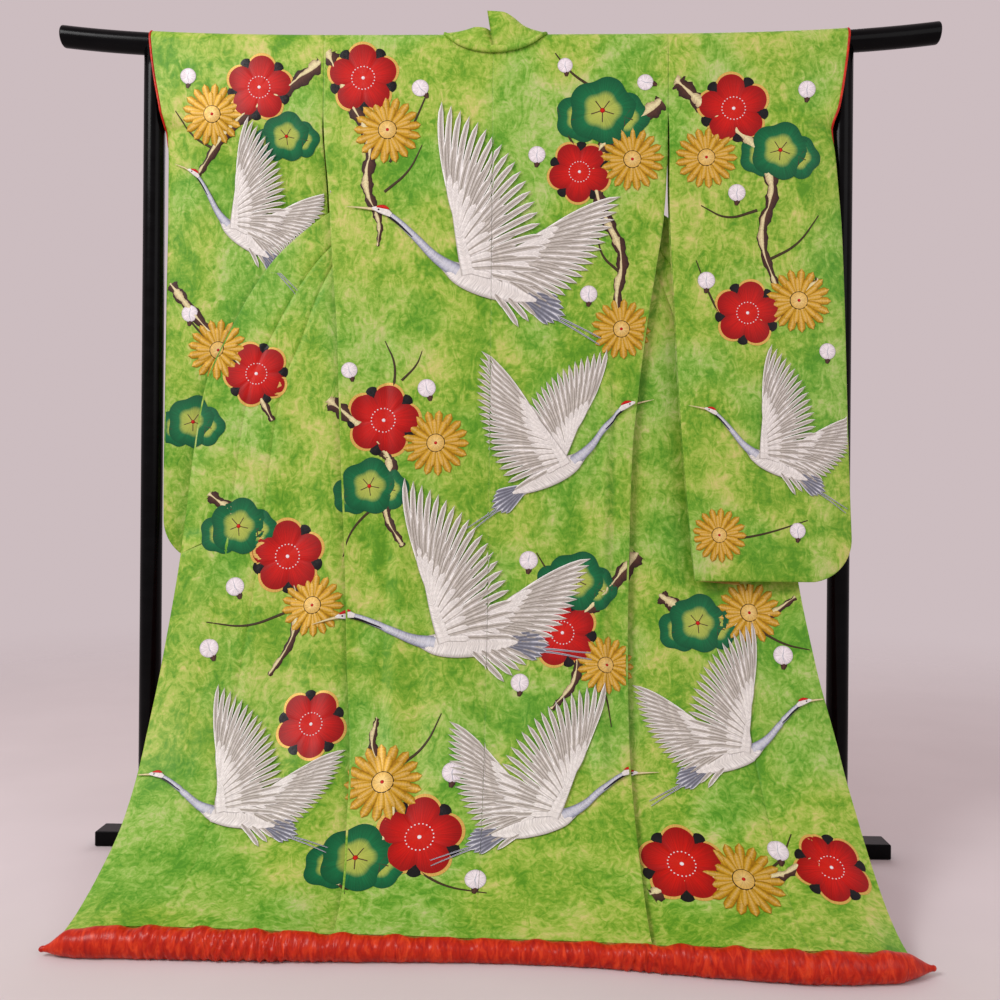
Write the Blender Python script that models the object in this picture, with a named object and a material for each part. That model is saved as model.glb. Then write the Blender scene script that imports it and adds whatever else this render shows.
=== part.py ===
"""Uchikake wedding kimono hung over a lacquered kimono stand, seen from its back.

Metres, +Z up, the back of the garment towards -Y. The origin is on the floor under the
middle of the stand's base rail. The cloth is laid out in two steps: a line down the back,
from the shoulder over the rail to the hem on the floor, and at each point of that line a
section across the garment, given by x and by the depth behind the back's own layer.
"""
import math
from collections import namedtuple

import bpy
import numpy as np

# Cloth
WALL = 0.0024
SEAM = 0.0003
HALF_BACK = 0.325
OVERLAP_WIDTH = 0.155
COLLAR_WIDTH = 0.09
COLLAR_END = 0.60
COLLAR_SLANT = 0.045
COLLAR_LAP = 0.0030
OVERLAP_TOP = 1.40
CENTRE_SEAM_X = -0.004
FOLD_RADIUS = 0.005
HEM_FOLD_RADIUS = 0.0035
NECK_HALF_WIDTH = 0.105
NECK_DROP = 0.0565
SLEEVE_SEAM_X = 0.3455
CUFF_BOTTOM = 1.45
SLEEVE_CORNER = 0.085
SLEEVE_OPENING = 0.060
ROLL_SEAT = math.cos(math.radians(30))
ROLL_LOBE = 0.05
ROLL_LOBE_PITCH = 0.067
RIPPLE = 0.0022
RIPPLE_WIDE = 0.23
RIPPLE_NARROW = 0.131

# Stand
RAIL_HEIGHT = 1.626
RAIL_RADIUS = 0.022
RAIL_HALF_LENGTH = 0.889
RAIL_RISE = 0.010
RAIL_RISE_POWER = 4.1
POST_X = 0.698
POST_RADIUS = 0.0215
BASE_HALF_LENGTH = 0.799
BASE_DEPTH = 0.054
BASE_HEIGHT = 0.030
FOOT_X = 0.600
FOOT_WIDTH = 0.050
FOOT_FRONT = -0.130
FOOT_BACK = 0.210
LACQUER_BEVEL = 0.002

# The cloth's middle surface over the rail, and the faces of its arch
ARCH_RADIUS = RAIL_RADIUS + WALL / 2 + 0.0006
ARCH_STEPS = 5

LEFT = -1
RIGHT = 1

ProfileRow = namedtuple("ProfileRow", "height forward")
BACK_PROFILE = (
    ProfileRow(1.626, 0.0238),
    ProfileRow(1.56, 0.0262),
    ProfileRow(1.45, 0.0285),
    ProfileRow(1.20, 0.035),
    ProfileRow(1.00, 0.044),
    ProfileRow(0.80, 0.060),
    ProfileRow(0.60, 0.085),
    ProfileRow(0.40, 0.135),
    ProfileRow(0.25, 0.200),
    ProfileRow(0.15, 0.280),
    ProfileRow(0.085, 0.370),
    ProfileRow(0.053, 0.440),
    ProfileRow(0.0425, 0.4835),
)

# The padded hem roll on the floor: its middle and its radius along x
HemRow = namedtuple("HemRow", "x y radius")
HEM_ROLL = (
    HemRow(-0.675, -0.488, 0.0060),
    HemRow(-0.655, -0.485, 0.0150),
    HemRow(-0.62, -0.482, 0.0225),
    HemRow(-0.50, -0.479, 0.0240),
    HemRow(-0.30, -0.481, 0.0240),
    HemRow(-0.23, -0.484, 0.0225),
    HemRow(-0.10, -0.490, 0.0205),
    HemRow(0.00, -0.496, 0.0190),
    HemRow(0.14, -0.500, 0.0205),
    HemRow(0.24, -0.504, 0.0230),
    HemRow(0.30, -0.508, 0.0235),
    HemRow(0.46, -0.517, 0.0245),
    HemRow(0.60, -0.508, 0.0225),
    HemRow(0.66, -0.497, 0.0140),
    HemRow(0.686, -0.492, 0.0060),
)

# Where the back's side fold and the front's free edge lie, by height, left and right
SideRow = namedtuple("SideRow", "height left_fold left_edge right_fold right_edge")
SIDES = (
    SideRow(0.00, 0.222, 0.655, 0.266, 0.662),
    SideRow(0.06, 0.226, 0.645, 0.266, 0.651),
    SideRow(0.14, 0.240, 0.637, 0.264, 0.653),
    SideRow(0.25, 0.252, 0.639, 0.262, 0.646),
    SideRow(0.40, 0.270, 0.630, 0.264, 0.620),
    SideRow(0.60, 0.285, 0.613, 0.270, 0.592),
    SideRow(0.80, 0.299, 0.597, 0.277, 0.580),
    SideRow(0.93, 0.306, 0.579, 0.290, 0.566),
    SideRow(1.05, 0.312, 0.530, 0.305, 0.520),
    SideRow(1.18, 0.323, 0.454, 0.325, 0.448),
    SideRow(1.27, 0.329, 0.360, 0.338, 0.360),
    SideRow(1.34, 0.334, 0.250, 0.343, 0.250),
    SideRow(1.42, 0.342, 0.140, 0.3455, 0.140),
    SideRow(1.50, 0.3455, 0.060, 0.3455, 0.060),
    SideRow(1.60, 0.3455, 0.000, 0.3455, 0.000),
    SideRow(1.66, 0.3455, 0.000, 0.3455, 0.000),
)

# Width of the front with its overlap and collar, and its depth behind the back
FrontRow = namedtuple("FrontRow", "height width depth fold_radius")
FRONTS = (
    FrontRow(0.00, 0.395, 0.0040, HEM_FOLD_RADIUS),
    FrontRow(0.20, 0.395, 0.0050, FOLD_RADIUS),
    FrontRow(0.93, 0.395, 0.0060, FOLD_RADIUS),
    FrontRow(1.18, 0.367, 0.0070, FOLD_RADIUS),
    FrontRow(1.30, 0.350, 0.0090, 0.0055),
    FrontRow(1.36, 0.345, 0.0160, 0.0070),
    FrontRow(1.42, 0.344, 0.0270, 0.0085),
    FrontRow(1.50, 0.344, 0.0380, 0.0090),
    FrontRow(1.626, 0.344, 0.0476, 0.0090),
)

# The sleeves' edges by height, and the y of the camera-side and far layers
SleeveRow = namedtuple("SleeveRow", "height inner outer near_y far_y")
LEFT_SLEEVE = (
    SleeveRow(0.578, 0.3850, 0.668, -0.0170, -0.0030),
    SleeveRow(0.80, 0.3720, 0.672, -0.0100, 0.0060),
    SleeveRow(1.10, 0.3520, 0.671, -0.0060, 0.0110),
    SleeveRow(1.25, 0.3380, 0.669, -0.0070, 0.0130),
    SleeveRow(1.34, 0.3405, 0.668, -0.0135, 0.0150),
    SleeveRow(1.40, 0.3445, 0.667, -0.0200, 0.0170),
    SleeveRow(1.45, 0.3475, 0.669, -0.0260, 0.0200),
    SleeveRow(1.49, 0.346, 0.676, -0.0280, 0.0245),
    SleeveRow(1.56, 0.346, 0.690, -0.0262, 0.0255),
    SleeveRow(1.626, 0.346, 0.699, -0.0238, 0.0238),
    SleeveRow(1.66, 0.346, 0.701, -0.0238, 0.0238),
)
RIGHT_SLEEVE = (
    SleeveRow(0.556, 0.3930, 0.694, -0.1140, -0.0980),
    SleeveRow(0.70, 0.3810, 0.695, -0.0900, -0.0720),
    SleeveRow(0.90, 0.3670, 0.694, -0.0690, -0.0500),
    SleeveRow(1.10, 0.3575, 0.692, -0.0540, -0.0350),
    SleeveRow(1.25, 0.3495, 0.688, -0.0460, -0.0240),
    SleeveRow(1.34, 0.3475, 0.682, -0.0420, -0.0150),
    SleeveRow(1.40, 0.3475, 0.677, -0.0400, -0.0080),
    SleeveRow(1.45, 0.3475, 0.671, -0.0340, 0.0020),
    SleeveRow(1.49, 0.346, 0.683, -0.0285, 0.0245),
    SleeveRow(1.56, 0.346, 0.695, -0.0262, 0.0255),
    SleeveRow(1.626, 0.346, 0.703, -0.0238, 0.0238),
    SleeveRow(1.66, 0.346, 0.705, -0.0238, 0.0238),
)

# The collar's free edge round the neck: turn is 0 at the centre back, 1 on the shoulder,
# and 2 where the collar leaves the rail on the far side
NeckRow = namedtuple("NeckRow", "turn left_x left_y left_z right_x right_y right_z")
NECK = (
    NeckRow(0.0, 0.004, -0.022, 1.664, 0.004, -0.022, 1.693),
    NeckRow(0.3, 0.034, -0.019, 1.672, 0.030, -0.018, 1.690),
    NeckRow(0.6, 0.052, -0.008, 1.673, 0.052, -0.008, 1.682),
    NeckRow(1.0, 0.056, 0.008, 1.672, 0.056, 0.008, 1.676),
    NeckRow(1.4, 0.042, 0.020, 1.662, 0.042, 0.020, 1.664),
    NeckRow(2.0, 0.022, 0.027, 1.640, 0.022, 0.027, 1.640),
)


def column(rows, field):
    return np.array([getattr(row, field) for row in rows])


def smooth(rows, key, field, at):
    """A smooth curve through one column of a table, with no overshoot between its rows."""
    xs = column(rows, key)
    ys = column(rows, field)
    slopes = np.diff(ys) / np.diff(xs)
    tangents = np.zeros(len(xs))
    tangents[0] = slopes[0]
    tangents[-1] = slopes[-1]
    same_way = slopes[:-1] * slopes[1:] > 0
    inner = np.zeros(len(slopes) - 1)
    inner[same_way] = 2 / (1 / slopes[:-1][same_way] + 1 / slopes[1:][same_way])
    tangents[1:-1] = inner
    at = np.clip(np.asarray(at, dtype=float), xs[0], xs[-1])
    span = np.clip(np.searchsorted(xs, at, side="right") - 1, 0, len(xs) - 2)
    width = xs[span + 1] - xs[span]
    f = (at - xs[span]) / width
    return (
        (1 + 2 * f) * (1 - f) ** 2 * ys[span]
        + f * (1 - f) ** 2 * width * tangents[span]
        + f * f * (3 - 2 * f) * ys[span + 1]
        - f * f * (1 - f) * width * tangents[span + 1]
    )


def ease(value):
    f = np.clip(value, 0.0, 1.0)
    return f * f * (3 - 2 * f)


def rail_lift(x):
    """How far the upswept rail stands above its middle."""
    return RAIL_RISE * (np.abs(x) / POST_X) ** RAIL_RISE_POWER


def back_line():
    """The line down the back: arc length, y and z of fine steps, from shoulder to hem."""
    heights = np.concatenate([np.linspace(1.626, 0.15, 160), np.linspace(0.15, 0.0425, 80)[1:]])
    rising = BACK_PROFILE[::-1]
    forward = smooth(rising, "height", "forward", heights)
    angles = np.linspace(0.0, math.pi / 2, 24)[:-1]
    y = np.concatenate([-ARCH_RADIUS * np.sin(angles), -forward])
    z = np.concatenate([RAIL_HEIGHT + ARCH_RADIUS * np.cos(angles), heights])
    length = np.concatenate([[0.0], np.cumsum(np.hypot(np.diff(y), np.diff(z)))])
    return length, y, z


LINE_LENGTH, LINE_Y, LINE_Z = back_line()
HEM_LENGTH = LINE_LENGTH[-1]
HEM_EASE = 0.32
HEM_LEAN = math.radians(30)


def length_at_height(z):
    return np.interp(-np.asarray(z), -LINE_Z, LINE_LENGTH)


def height_at_length(length):
    return np.interp(length, LINE_LENGTH, LINE_Z)


def ripple(x, z):
    """Soft vertical waves of the hanging cloth, fading out at the shoulder and the hem."""
    strength = RIPPLE * ease((1.35 - z) / 0.9) * ease((z - 0.03) / 0.25)
    wide = np.sin(2 * math.pi * x / RIPPLE_WIDE + 0.6)
    narrow = np.sin(2 * math.pi * x / RIPPLE_NARROW + 1.1)
    return strength * (wide + 0.6 * narrow)


def cloth_point(x, length, depth):
    """The point at x, at a length down the back line, at a depth behind the back's layer."""
    x = np.asarray(x, dtype=float)
    step = 0.004
    y = np.interp(length, LINE_LENGTH, LINE_Y)
    z = np.interp(length, LINE_LENGTH, LINE_Z)
    y_on = np.interp(length + step, LINE_LENGTH, LINE_Y) - np.interp(length - step, LINE_LENGTH, LINE_Y)
    z_on = np.interp(length + step, LINE_LENGTH, LINE_Z) - np.interp(length - step, LINE_LENGTH, LINE_Z)
    size = np.hypot(y_on, z_on)
    inward_y = -z_on / size
    inward_z = y_on / size
    away = depth + ripple(x, z)
    roll_y = smooth(HEM_ROLL, "x", "y", x)
    roll_radius = smooth(HEM_ROLL, "x", "radius", np.clip(x, -0.60, 0.60))
    reach = roll_radius + WALL / 2 + SEAM + 0.0001
    hem_y = roll_y + reach * math.sin(HEM_LEAN)
    hem_z = roll_radius * ROLL_SEAT + reach * math.cos(HEM_LEAN)
    near_hem = ease((length - HEM_LENGTH + HEM_EASE) / HEM_EASE)
    near_rail = ease((z - 1.30) / 0.30)
    return np.stack([
        x + 0 * length,
        y + inward_y * away + near_hem * (hem_y - LINE_Y[-1]),
        z + inward_z * away + near_hem * (hem_z - LINE_Z[-1]) + near_rail * rail_lift(x),
    ], axis=-1)


def rail_point(x, angle):
    """A point of the cloth over the rail; the angle is 0 on top and positive to the far side."""
    return np.stack([
        x + 0 * angle,
        ARCH_RADIUS * np.sin(angle) + 0 * x,
        RAIL_HEIGHT + rail_lift(x) + ARCH_RADIUS * np.cos(angle),
    ], axis=-1)


def side_name(side, field):
    return ("left_" if side == LEFT else "right_") + field


def fold_x(side, z):
    return smooth(SIDES, "height", side_name(side, "fold"), z)


def front_width(side, z):
    turned_under = HALF_BACK - fold_x(side, z)
    return smooth(FRONTS, "height", "width", z) + turned_under


def front_turn(side, z):
    """How far from the side fold the front is folded back on itself, on its way out."""
    inward = fold_x(side, z) - smooth(SIDES, "height", side_name(side, "edge"), z)
    return (front_width(side, z) + inward) / 2


def front_point(side, z, across):
    """A point of the front: its height, and how far across it lies from the side fold."""
    turn = front_turn(side, z)
    radius = smooth(FRONTS, "height", "fold_radius", z)
    depth = smooth(FRONTS, "height", "depth", z)
    past = across - turn
    quarter = radius * math.pi / 2
    angle = np.clip(past / radius, -math.pi / 2, math.pi / 2)
    inward = np.where(
        past < -quarter,
        across,
        turn - quarter + radius * np.cos(angle) - np.maximum(past - quarter, 0),
    )
    layer = depth + radius * (1 + np.sin(angle))
    out_of_fold = np.maximum(-inward, 0)
    flat_hem = ease((0.30 - z) / 0.26) * ease(out_of_fold / 0.10)
    layer = layer * (1 - 0.93 * flat_hem)
    x = side * (fold_x(side, z) - inward)
    short = 1.1 * layer * ease((0.25 - z) / 0.2)
    length = length_at_height(z) * (1 - short / HEM_LENGTH)
    return cloth_point(x, length, layer)


def spaced(start, end, dense_at, dense_width, count):
    """Places from start to end, closer together round one place."""
    fine = np.linspace(start, end, 200)
    weight = 1 + 5 * np.exp(-((fine - dense_at) / dense_width) ** 2)
    total = np.concatenate([[0], np.cumsum((weight[1:] + weight[:-1]) / 2)])
    return np.interp(np.linspace(0, total[-1], count + 1), total, fine)


def overlap_share(z):
    """How wide the overlap panel is inside the collar: full at the hem, a point at its top."""
    narrow = OVERLAP_WIDTH - COLLAR_WIDTH
    return narrow * np.clip((OVERLAP_TOP + 0.02 - z) / (OVERLAP_TOP - 1.0), 0.0, 1.0)


def body_seam(side, z):
    """Where the body length ends, across the front: at the overlap panel or at the collar."""
    return front_width(side, z) - COLLAR_WIDTH - overlap_share(z)


def back_heights():
    """Heights of the back's rows below the rail, from the hem up."""
    return np.concatenate([
        np.array([0.0425, 0.050, 0.061, 0.080]),
        np.linspace(0.11, 0.30, 5),
        np.linspace(0.39, 1.34, 12),
        np.linspace(1.40, 1.60, 4),
    ])


def front_heights():
    """Heights of the front's rows, shared by all its pieces so that their seams match."""
    return np.concatenate([
        np.array([0.0425, 0.050, 0.061, 0.080]),
        np.linspace(0.11, 0.30, 5),
        np.linspace(0.40, COLLAR_END, 3),
        np.array([COLLAR_END + COLLAR_SLANT]),
        np.linspace(0.72, 1.12, 5),
        np.linspace(1.18, 1.34, 5),
        np.linspace(1.352, OVERLAP_TOP, 5),
        np.linspace(1.412, 1.46, 5),
        np.linspace(1.48, 1.61, 6),
    ])


def facing(along, across, side):
    """Unit vectors off the cloth's outer face, from steps up the cloth and across it."""
    normal = -side * np.cross(along, across)
    return normal / np.linalg.norm(normal, axis=-1, keepdims=True)


def back_row(side, z, x):
    """A row of the back, and its outward directions."""
    step = 0.0005
    length = length_at_height(z)
    along = cloth_point(x, length - step, 0.0) - cloth_point(x, length + step, 0.0)
    across = cloth_point(x + side * step, length, 0.0) - cloth_point(x - side * step, length, 0.0)
    return cloth_point(x, length, 0.0), facing(along, across, side)


def front_row(side, z, across):
    """A row of the front, and its outward directions."""
    step = 0.0005
    along = front_point(side, z + step, across) - front_point(side, z - step, across)
    over = front_point(side, z, across + step) - front_point(side, z, across - step)
    return front_point(side, z, across), facing(along, over, side)


def rail_row(x, angle):
    """A row of cloth over the rail, and its outward directions."""
    normal = np.zeros((len(x), 3))
    normal[:, 1] = math.sin(angle)
    normal[:, 2] = math.cos(angle)
    return rail_point(x, angle), normal


def rail_angles():
    return np.linspace(0, math.pi / 2, ARCH_STEPS + 1)


def neck_inner(length):
    """How far the neck opening reaches from the centre, at a length from the shoulder."""
    return NECK_HALF_WIDTH * math.sqrt(max(1 - (length / NECK_DROP) ** 2, 0.0))


def body_rows(side, count):
    """A body length from the back hem over the shoulder and down the far side to the hem."""
    rows = []
    share = np.linspace(0, 1, count + 1)
    for z in back_heights():
        inner = side * CENTRE_SEAM_X + SEAM / 2
        outer = fold_x(side, z)
        rows.append(back_row(side, z, side * (inner + (outer - inner) * share)))
    for length in (0.0545, 0.0470):
        inner = neck_inner(length)
        x = side * (inner + (SLEEVE_SEAM_X - inner) * share)
        rows.append(back_row(side, float(height_at_length(length)), x))
    for angle in rail_angles()[::-1]:
        inner = neck_inner(ARCH_RADIUS * angle)
        rows.append(rail_row(side * (inner + (SLEEVE_SEAM_X - inner) * share), -angle))
    shoulder = SLEEVE_SEAM_X + (NECK_HALF_WIDTH - SLEEVE_SEAM_X) * share
    for angle in rail_angles()[1:]:
        points, normals = rail_row(side * shoulder, angle)
        rows.append((points[::-1], normals[::-1]))
    for z in front_heights()[::-1]:
        end = body_seam(side, z) - SEAM
        across = spaced(0.0, end, front_turn(side, z), 0.016, count)
        points, normals = front_row(side, z, across)
        rows.append((points[::-1], normals[::-1]))
    return rows


def overlap_rows(side, count):
    """The front overlap panel, from the hem up to its point below the neck."""
    rows = []
    for z in front_heights():
        if z > OVERLAP_TOP + SEAM:
            break
        start = body_seam(side, z)
        end = front_width(side, z) if z <= COLLAR_END else start + overlap_share(z) - SEAM
        across = spaced(start, end, front_turn(side, z), 0.016, count)
        rows.append(front_row(side, z, across))
    return rows


def collar_neck_line(side, turn, share):
    """A line across the collar at the neck, from its sewn edge to its free edge."""
    free = np.array([float(smooth(NECK, "turn", side_name(side, name), turn)) for name in "xyz"])
    free[0] *= side
    at_centre = max(1 - turn, 0.0)
    if turn <= 1.0:
        length = NECK_DROP * math.cos(turn * math.pi / 2)
        x = max(neck_inner(length) - 2 * COLLAR_LAP, 0.0)
        angle = -min(length / ARCH_RADIUS, math.pi / 2)
        below = max(length - ARCH_RADIUS * math.pi / 2, 0.0)
    else:
        x = NECK_HALF_WIDTH - 2 * COLLAR_LAP
        angle = (turn - 1) * math.pi / 2
        below = 0.0
    sewn = rail_point(np.array([side * x]), angle)[0]
    sewn[1] += COLLAR_LAP * math.sin(angle)
    sewn[2] += COLLAR_LAP * math.cos(angle) - below + COLLAR_LAP * at_centre
    sewn[0] += (side * SEAM + CENTRE_SEAM_X) * at_centre
    free[0] += CENTRE_SEAM_X * at_centre
    line = sewn + (free - sewn) * share[:, None]
    line[:, 1] -= 0.006 * np.sin(math.pi * share) * math.cos(min(turn, 2.0) * math.pi / 2)
    return line


def collar_rows(side, count):
    """One half of the collar: round the neck, then down the front's free edge."""
    share = np.linspace(0, 1, count + 1)
    rows = [(collar_neck_line(side, turn, share), None) for turn in np.linspace(0, 2, 11)]
    for z in front_heights()[::-1]:
        if z <= COLLAR_END + COLLAR_SLANT:
            break
        width = front_width(side, z)
        across = spaced(width - COLLAR_WIDTH, width, front_turn(side, z), 0.016, count)
        rows.append(front_row(side, z, across))
    z = COLLAR_END + 2 * SEAM + COLLAR_SLANT * (1 - share)
    across = front_width(side, z) - COLLAR_WIDTH * (1 - share)
    rows.append(front_row(side, z, across))
    return rows


def sleeve_table(side):
    return LEFT_SLEEVE if side == LEFT else RIGHT_SLEEVE


def sleeve_layer(side, z, share, field):
    """A row of one layer of a sleeve; the layers meet along the sewn edges."""
    table = sleeve_table(side)
    bottom = table[0].height
    inner = smooth(table, "height", "inner", z) + SEAM
    outer = smooth(table, "height", "outer", z)
    rise = min((z - bottom) / SLEEVE_CORNER, 1.0)
    outer = outer - SLEEVE_CORNER * (1 - math.sqrt(max(1 - (1 - rise) ** 2, 0.0)))
    x = inner + (outer - inner) * share
    near = smooth(table, "height", "near_y", z)
    far = smooth(table, "height", "far_y", z)
    closed = (WALL + SEAM) / 2 + 0.0002
    from_outer = np.maximum(outer - x, 0.0) + 2.0 * max(z - CUFF_BOTTOM, 0.0)
    from_sewn_edge = np.minimum(from_outer, z - bottom)
    open_share = np.sqrt(np.clip(from_sewn_edge / SLEEVE_OPENING, 0.0, 1.0))
    gap = closed + ((far - near) / 2 - closed) * open_share
    y = (near + far) / 2 + (gap if field == "far_y" else -gap)
    lift = ease((z - 1.30) / 0.30) * rail_lift(x)
    return np.stack([side * x, y, z + lift], axis=-1)


def sleeve_rows(side, count):
    """A sleeve: up the camera-side layer, over the rail and down the far layer."""
    table = sleeve_table(side)
    low = table[0].height + SLEEVE_CORNER * np.array([0.0, 0.04, 0.16, 0.38, 0.68, 1.0])
    heights = np.concatenate([
        low,
        np.linspace(low[-1], 1.34, 8)[1:],
        np.array([1.40, 1.43, 1.45, 1.47, 1.49, 1.54, 1.60]),
    ])
    share = np.linspace(0, 1, count + 1)
    share = share - 0.06 * np.sin(2 * math.pi * share)
    near = [sleeve_layer(side, z, share, "near_y") for z in heights]
    far = [sleeve_layer(side, z, share, "far_y") for z in heights[::-1]]
    over = []
    angles = rail_angles()
    for angle in np.concatenate([-angles[::-1], angles[1:]]):
        z = RAIL_HEIGHT + ARCH_RADIUS * math.cos(angle)
        inner = SLEEVE_SEAM_X + 2 * SEAM
        outer = smooth(table, "height", "outer", z)
        over.append(rail_point(side * (inner + (outer - inner) * share), angle))
    return [(points, None) for points in near + over + far]


def new_material(name, colour, roughness, metallic=0.0):
    material = bpy.data.materials.new(name)
    material.use_nodes = True
    shader = material.node_tree.nodes["Principled BSDF"]
    shader.inputs["Base Color"].default_value = (*colour, 1.0)
    shader.inputs["Roughness"].default_value = roughness
    shader.inputs["Metallic"].default_value = metallic
    return material


def add_object(name, points, faces, material):
    mesh = bpy.data.meshes.new(name)
    mesh.from_pydata([tuple(point) for point in points], [], faces)
    mesh.materials.append(material)
    mesh.shade_smooth()
    mesh.update()
    item = bpy.data.objects.new(name, mesh)
    bpy.context.scene.collection.objects.link(item)
    return item


def enclosed_volume(points, faces):
    total = 0.0
    for face in faces:
        first = points[face[0]]
        for k in range(1, len(face) - 1):
            total += np.dot(first, np.cross(points[face[k]], points[face[k + 1]]))
    return total / 6


def cloth_piece(name, rows, wall, material):
    """A closed wall round a grid of points on the cloth's middle surface."""
    grid = np.array([points for points, _ in rows])
    count_down, count_across = grid.shape[:2]
    normal = np.cross(np.gradient(grid, axis=0), np.gradient(grid, axis=1))
    normal /= np.linalg.norm(normal, axis=2, keepdims=True)
    given = [i for i, (_, normals) in enumerate(rows) if normals is not None]
    if given:
        exact = np.array([rows[i][1] for i in given])
        normal *= math.copysign(1.0, float(np.sum(normal[given] * exact)))
        normal[given] = exact
    outer = grid + normal * wall / 2
    inner = grid - normal * wall / 2
    points = np.concatenate([outer.reshape(-1, 3), inner.reshape(-1, 3)])
    layer = count_down * count_across

    def index(i, j):
        return i * count_across + j

    faces = []
    for i in range(count_down - 1):
        for j in range(count_across - 1):
            a, b, c, d = (index(i, j), index(i + 1, j), index(i + 1, j + 1), index(i, j + 1))
            faces += [(a, b, c), (a, c, d)]
            faces += [(layer + c, layer + b, layer + a), (layer + d, layer + c, layer + a)]
    rim = [index(0, j) for j in range(count_across)]
    rim += [index(i, count_across - 1) for i in range(1, count_down)]
    rim += [index(count_down - 1, j) for j in range(count_across - 2, -1, -1)]
    rim += [index(i, 0) for i in range(count_down - 2, 0, -1)]
    for k, start in enumerate(rim):
        end = rim[(k + 1) % len(rim)]
        if points[start][2] < points[end][2]:
            faces += [(start, end, layer + end), (start, layer + end, layer + start)]
        else:
            faces += [(start, end, layer + start), (end, layer + end, layer + start)]
    if enclosed_volume(points, faces) < 0:
        faces = [tuple(reversed(face)) for face in faces]
    return add_object(name, points, faces, material)


def add_rod(name, points, ring_count, sides, material):
    """A closed rod through rings of points along it, capped flat at both ends."""
    faces = []
    for i in range(ring_count - 1):
        for k in range(sides):
            after = (k + 1) % sides
            faces.append((
                i * sides + k,
                i * sides + after,
                (i + 1) * sides + after,
                (i + 1) * sides + k,
            ))
    faces.append(tuple(range(sides - 1, -1, -1)))
    last = (ring_count - 1) * sides
    faces.append(tuple(last + k for k in range(sides)))
    points = np.array(points)
    if enclosed_volume(points, faces) < 0:
        faces = [tuple(reversed(face)) for face in faces]
    return add_object(name, points, faces, material)


def hem_roll(material):
    """The padded roll of lining cloth that lies on the floor along the whole hem."""
    sides = 12
    xs = np.concatenate([
        np.array([-0.675, -0.667, -0.652]),
        np.linspace(-0.63, 0.64, 33),
        np.array([0.661, 0.677, 0.686]),
    ])
    points = []
    for x in xs:
        middle = smooth(HEM_ROLL, "x", "y", x)
        radius = smooth(HEM_ROLL, "x", "radius", x)
        lobe = 1 - ROLL_LOBE * (0.5 + 0.5 * math.sin(2 * math.pi * x / ROLL_LOBE_PITCH))
        for k in range(sides):
            angle = 2 * math.pi * k / sides
            across = radius * math.cos(angle) * (lobe if math.cos(angle) < 0 else 1.0)
            points.append((x, middle + across, max(radius * (ROLL_SEAT + math.sin(angle)), 0.0)))
    return add_rod("hem_roll", points, len(xs), sides, material)


def top_rail(material):
    """The round rail that carries the garment, swept up towards both ends."""
    sides = 16
    xs = np.concatenate([
        np.linspace(-RAIL_HALF_LENGTH, -0.40, 13)[:-1],
        np.linspace(-0.40, 0.40, 9)[:-1],
        np.linspace(0.40, RAIL_HALF_LENGTH, 13),
    ])
    points = []
    for x in xs:
        for k in range(sides):
            angle = 2 * math.pi * (k + 0.5) / sides
            points.append((
                x,
                RAIL_RADIUS * math.cos(angle),
                RAIL_HEIGHT + rail_lift(x) + RAIL_RADIUS * math.sin(angle),
            ))
    return add_rod("top_rail", points, len(xs), sides, material)


def post(name, side, material):
    """A round post, from the base rail up to the underside of the top rail."""
    sides = 24
    points = []
    bottom = BASE_HEIGHT + SEAM
    for k in range(sides):
        angle = 2 * math.pi * k / sides
        x = side * POST_X + POST_RADIUS * math.cos(angle)
        y = POST_RADIUS * math.sin(angle)
        points.append((x, y, bottom))
    for k in range(sides):
        x, y, _ = points[k]
        reach = math.sqrt(RAIL_RADIUS ** 2 - y ** 2)
        top = RAIL_HEIGHT + rail_lift(x) - reach - 2 * SEAM
        points.append((x, y, top))
    faces = [(k, (k + 1) % sides, sides + (k + 1) % sides, sides + k) for k in range(sides)]
    faces.append(tuple(range(sides - 1, -1, -1)))
    quarter = sides // 4
    for k in range(-quarter, quarter):
        ring = (k, k + 1, 2 * quarter - k - 1, 2 * quarter - k)
        faces.append(tuple(dict.fromkeys(sides + j % sides for j in ring)))
    points = np.array(points)
    if enclosed_volume(points, faces) < 0:
        faces = [tuple(reversed(face)) for face in faces]
    return add_object(name, points, faces, material)


def block(name, low, high, material):
    """A square bar with a small bevel on its edges."""
    size = [high[k] - low[k] for k in range(3)]
    bpy.ops.mesh.primitive_cube_add(size=1.0)
    item = bpy.context.active_object
    item.name = name
    item.data.name = name
    for vertex in item.data.vertices:
        vertex.co = [low[k] + (vertex.co[k] + 0.5) * size[k] for k in range(3)]
    item.data.materials.append(material)
    bevel = item.modifiers.new("edges", "BEVEL")
    bevel.width = LACQUER_BEVEL
    bevel.segments = 1
    return item


def stand(material):
    top_rail(material)
    post("post_left", LEFT, material)
    post("post_right", RIGHT, material)
    half = BASE_DEPTH / 2
    block("base_rail", (-BASE_HALF_LENGTH, -half, 0.0), (BASE_HALF_LENGTH, half, BASE_HEIGHT), material)
    for side, word in ((LEFT, "left"), (RIGHT, "right")):
        near = side * FOOT_X - FOOT_WIDTH / 2
        far = side * FOOT_X + FOOT_WIDTH / 2
        block(f"foot_near_{word}", (near, FOOT_FRONT, 0.0), (far, -half - SEAM, BASE_HEIGHT), material)
        block(f"foot_far_{word}", (near, half + SEAM, 0.0), (far, FOOT_BACK, BASE_HEIGHT), material)


def garment(satin, lining):
    for side, word in ((LEFT, "left"), (RIGHT, "right")):
        cloth_piece(f"body_{word}", body_rows(side, 9), WALL, satin)
        cloth_piece(f"overlap_{word}", overlap_rows(side, 5), WALL, satin)
        cloth_piece(f"sleeve_{word}", sleeve_rows(side, 7), WALL, satin)
        cloth_piece(f"collar_{word}", collar_rows(side, 5), WALL, satin)
    hem_roll(lining)


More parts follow.
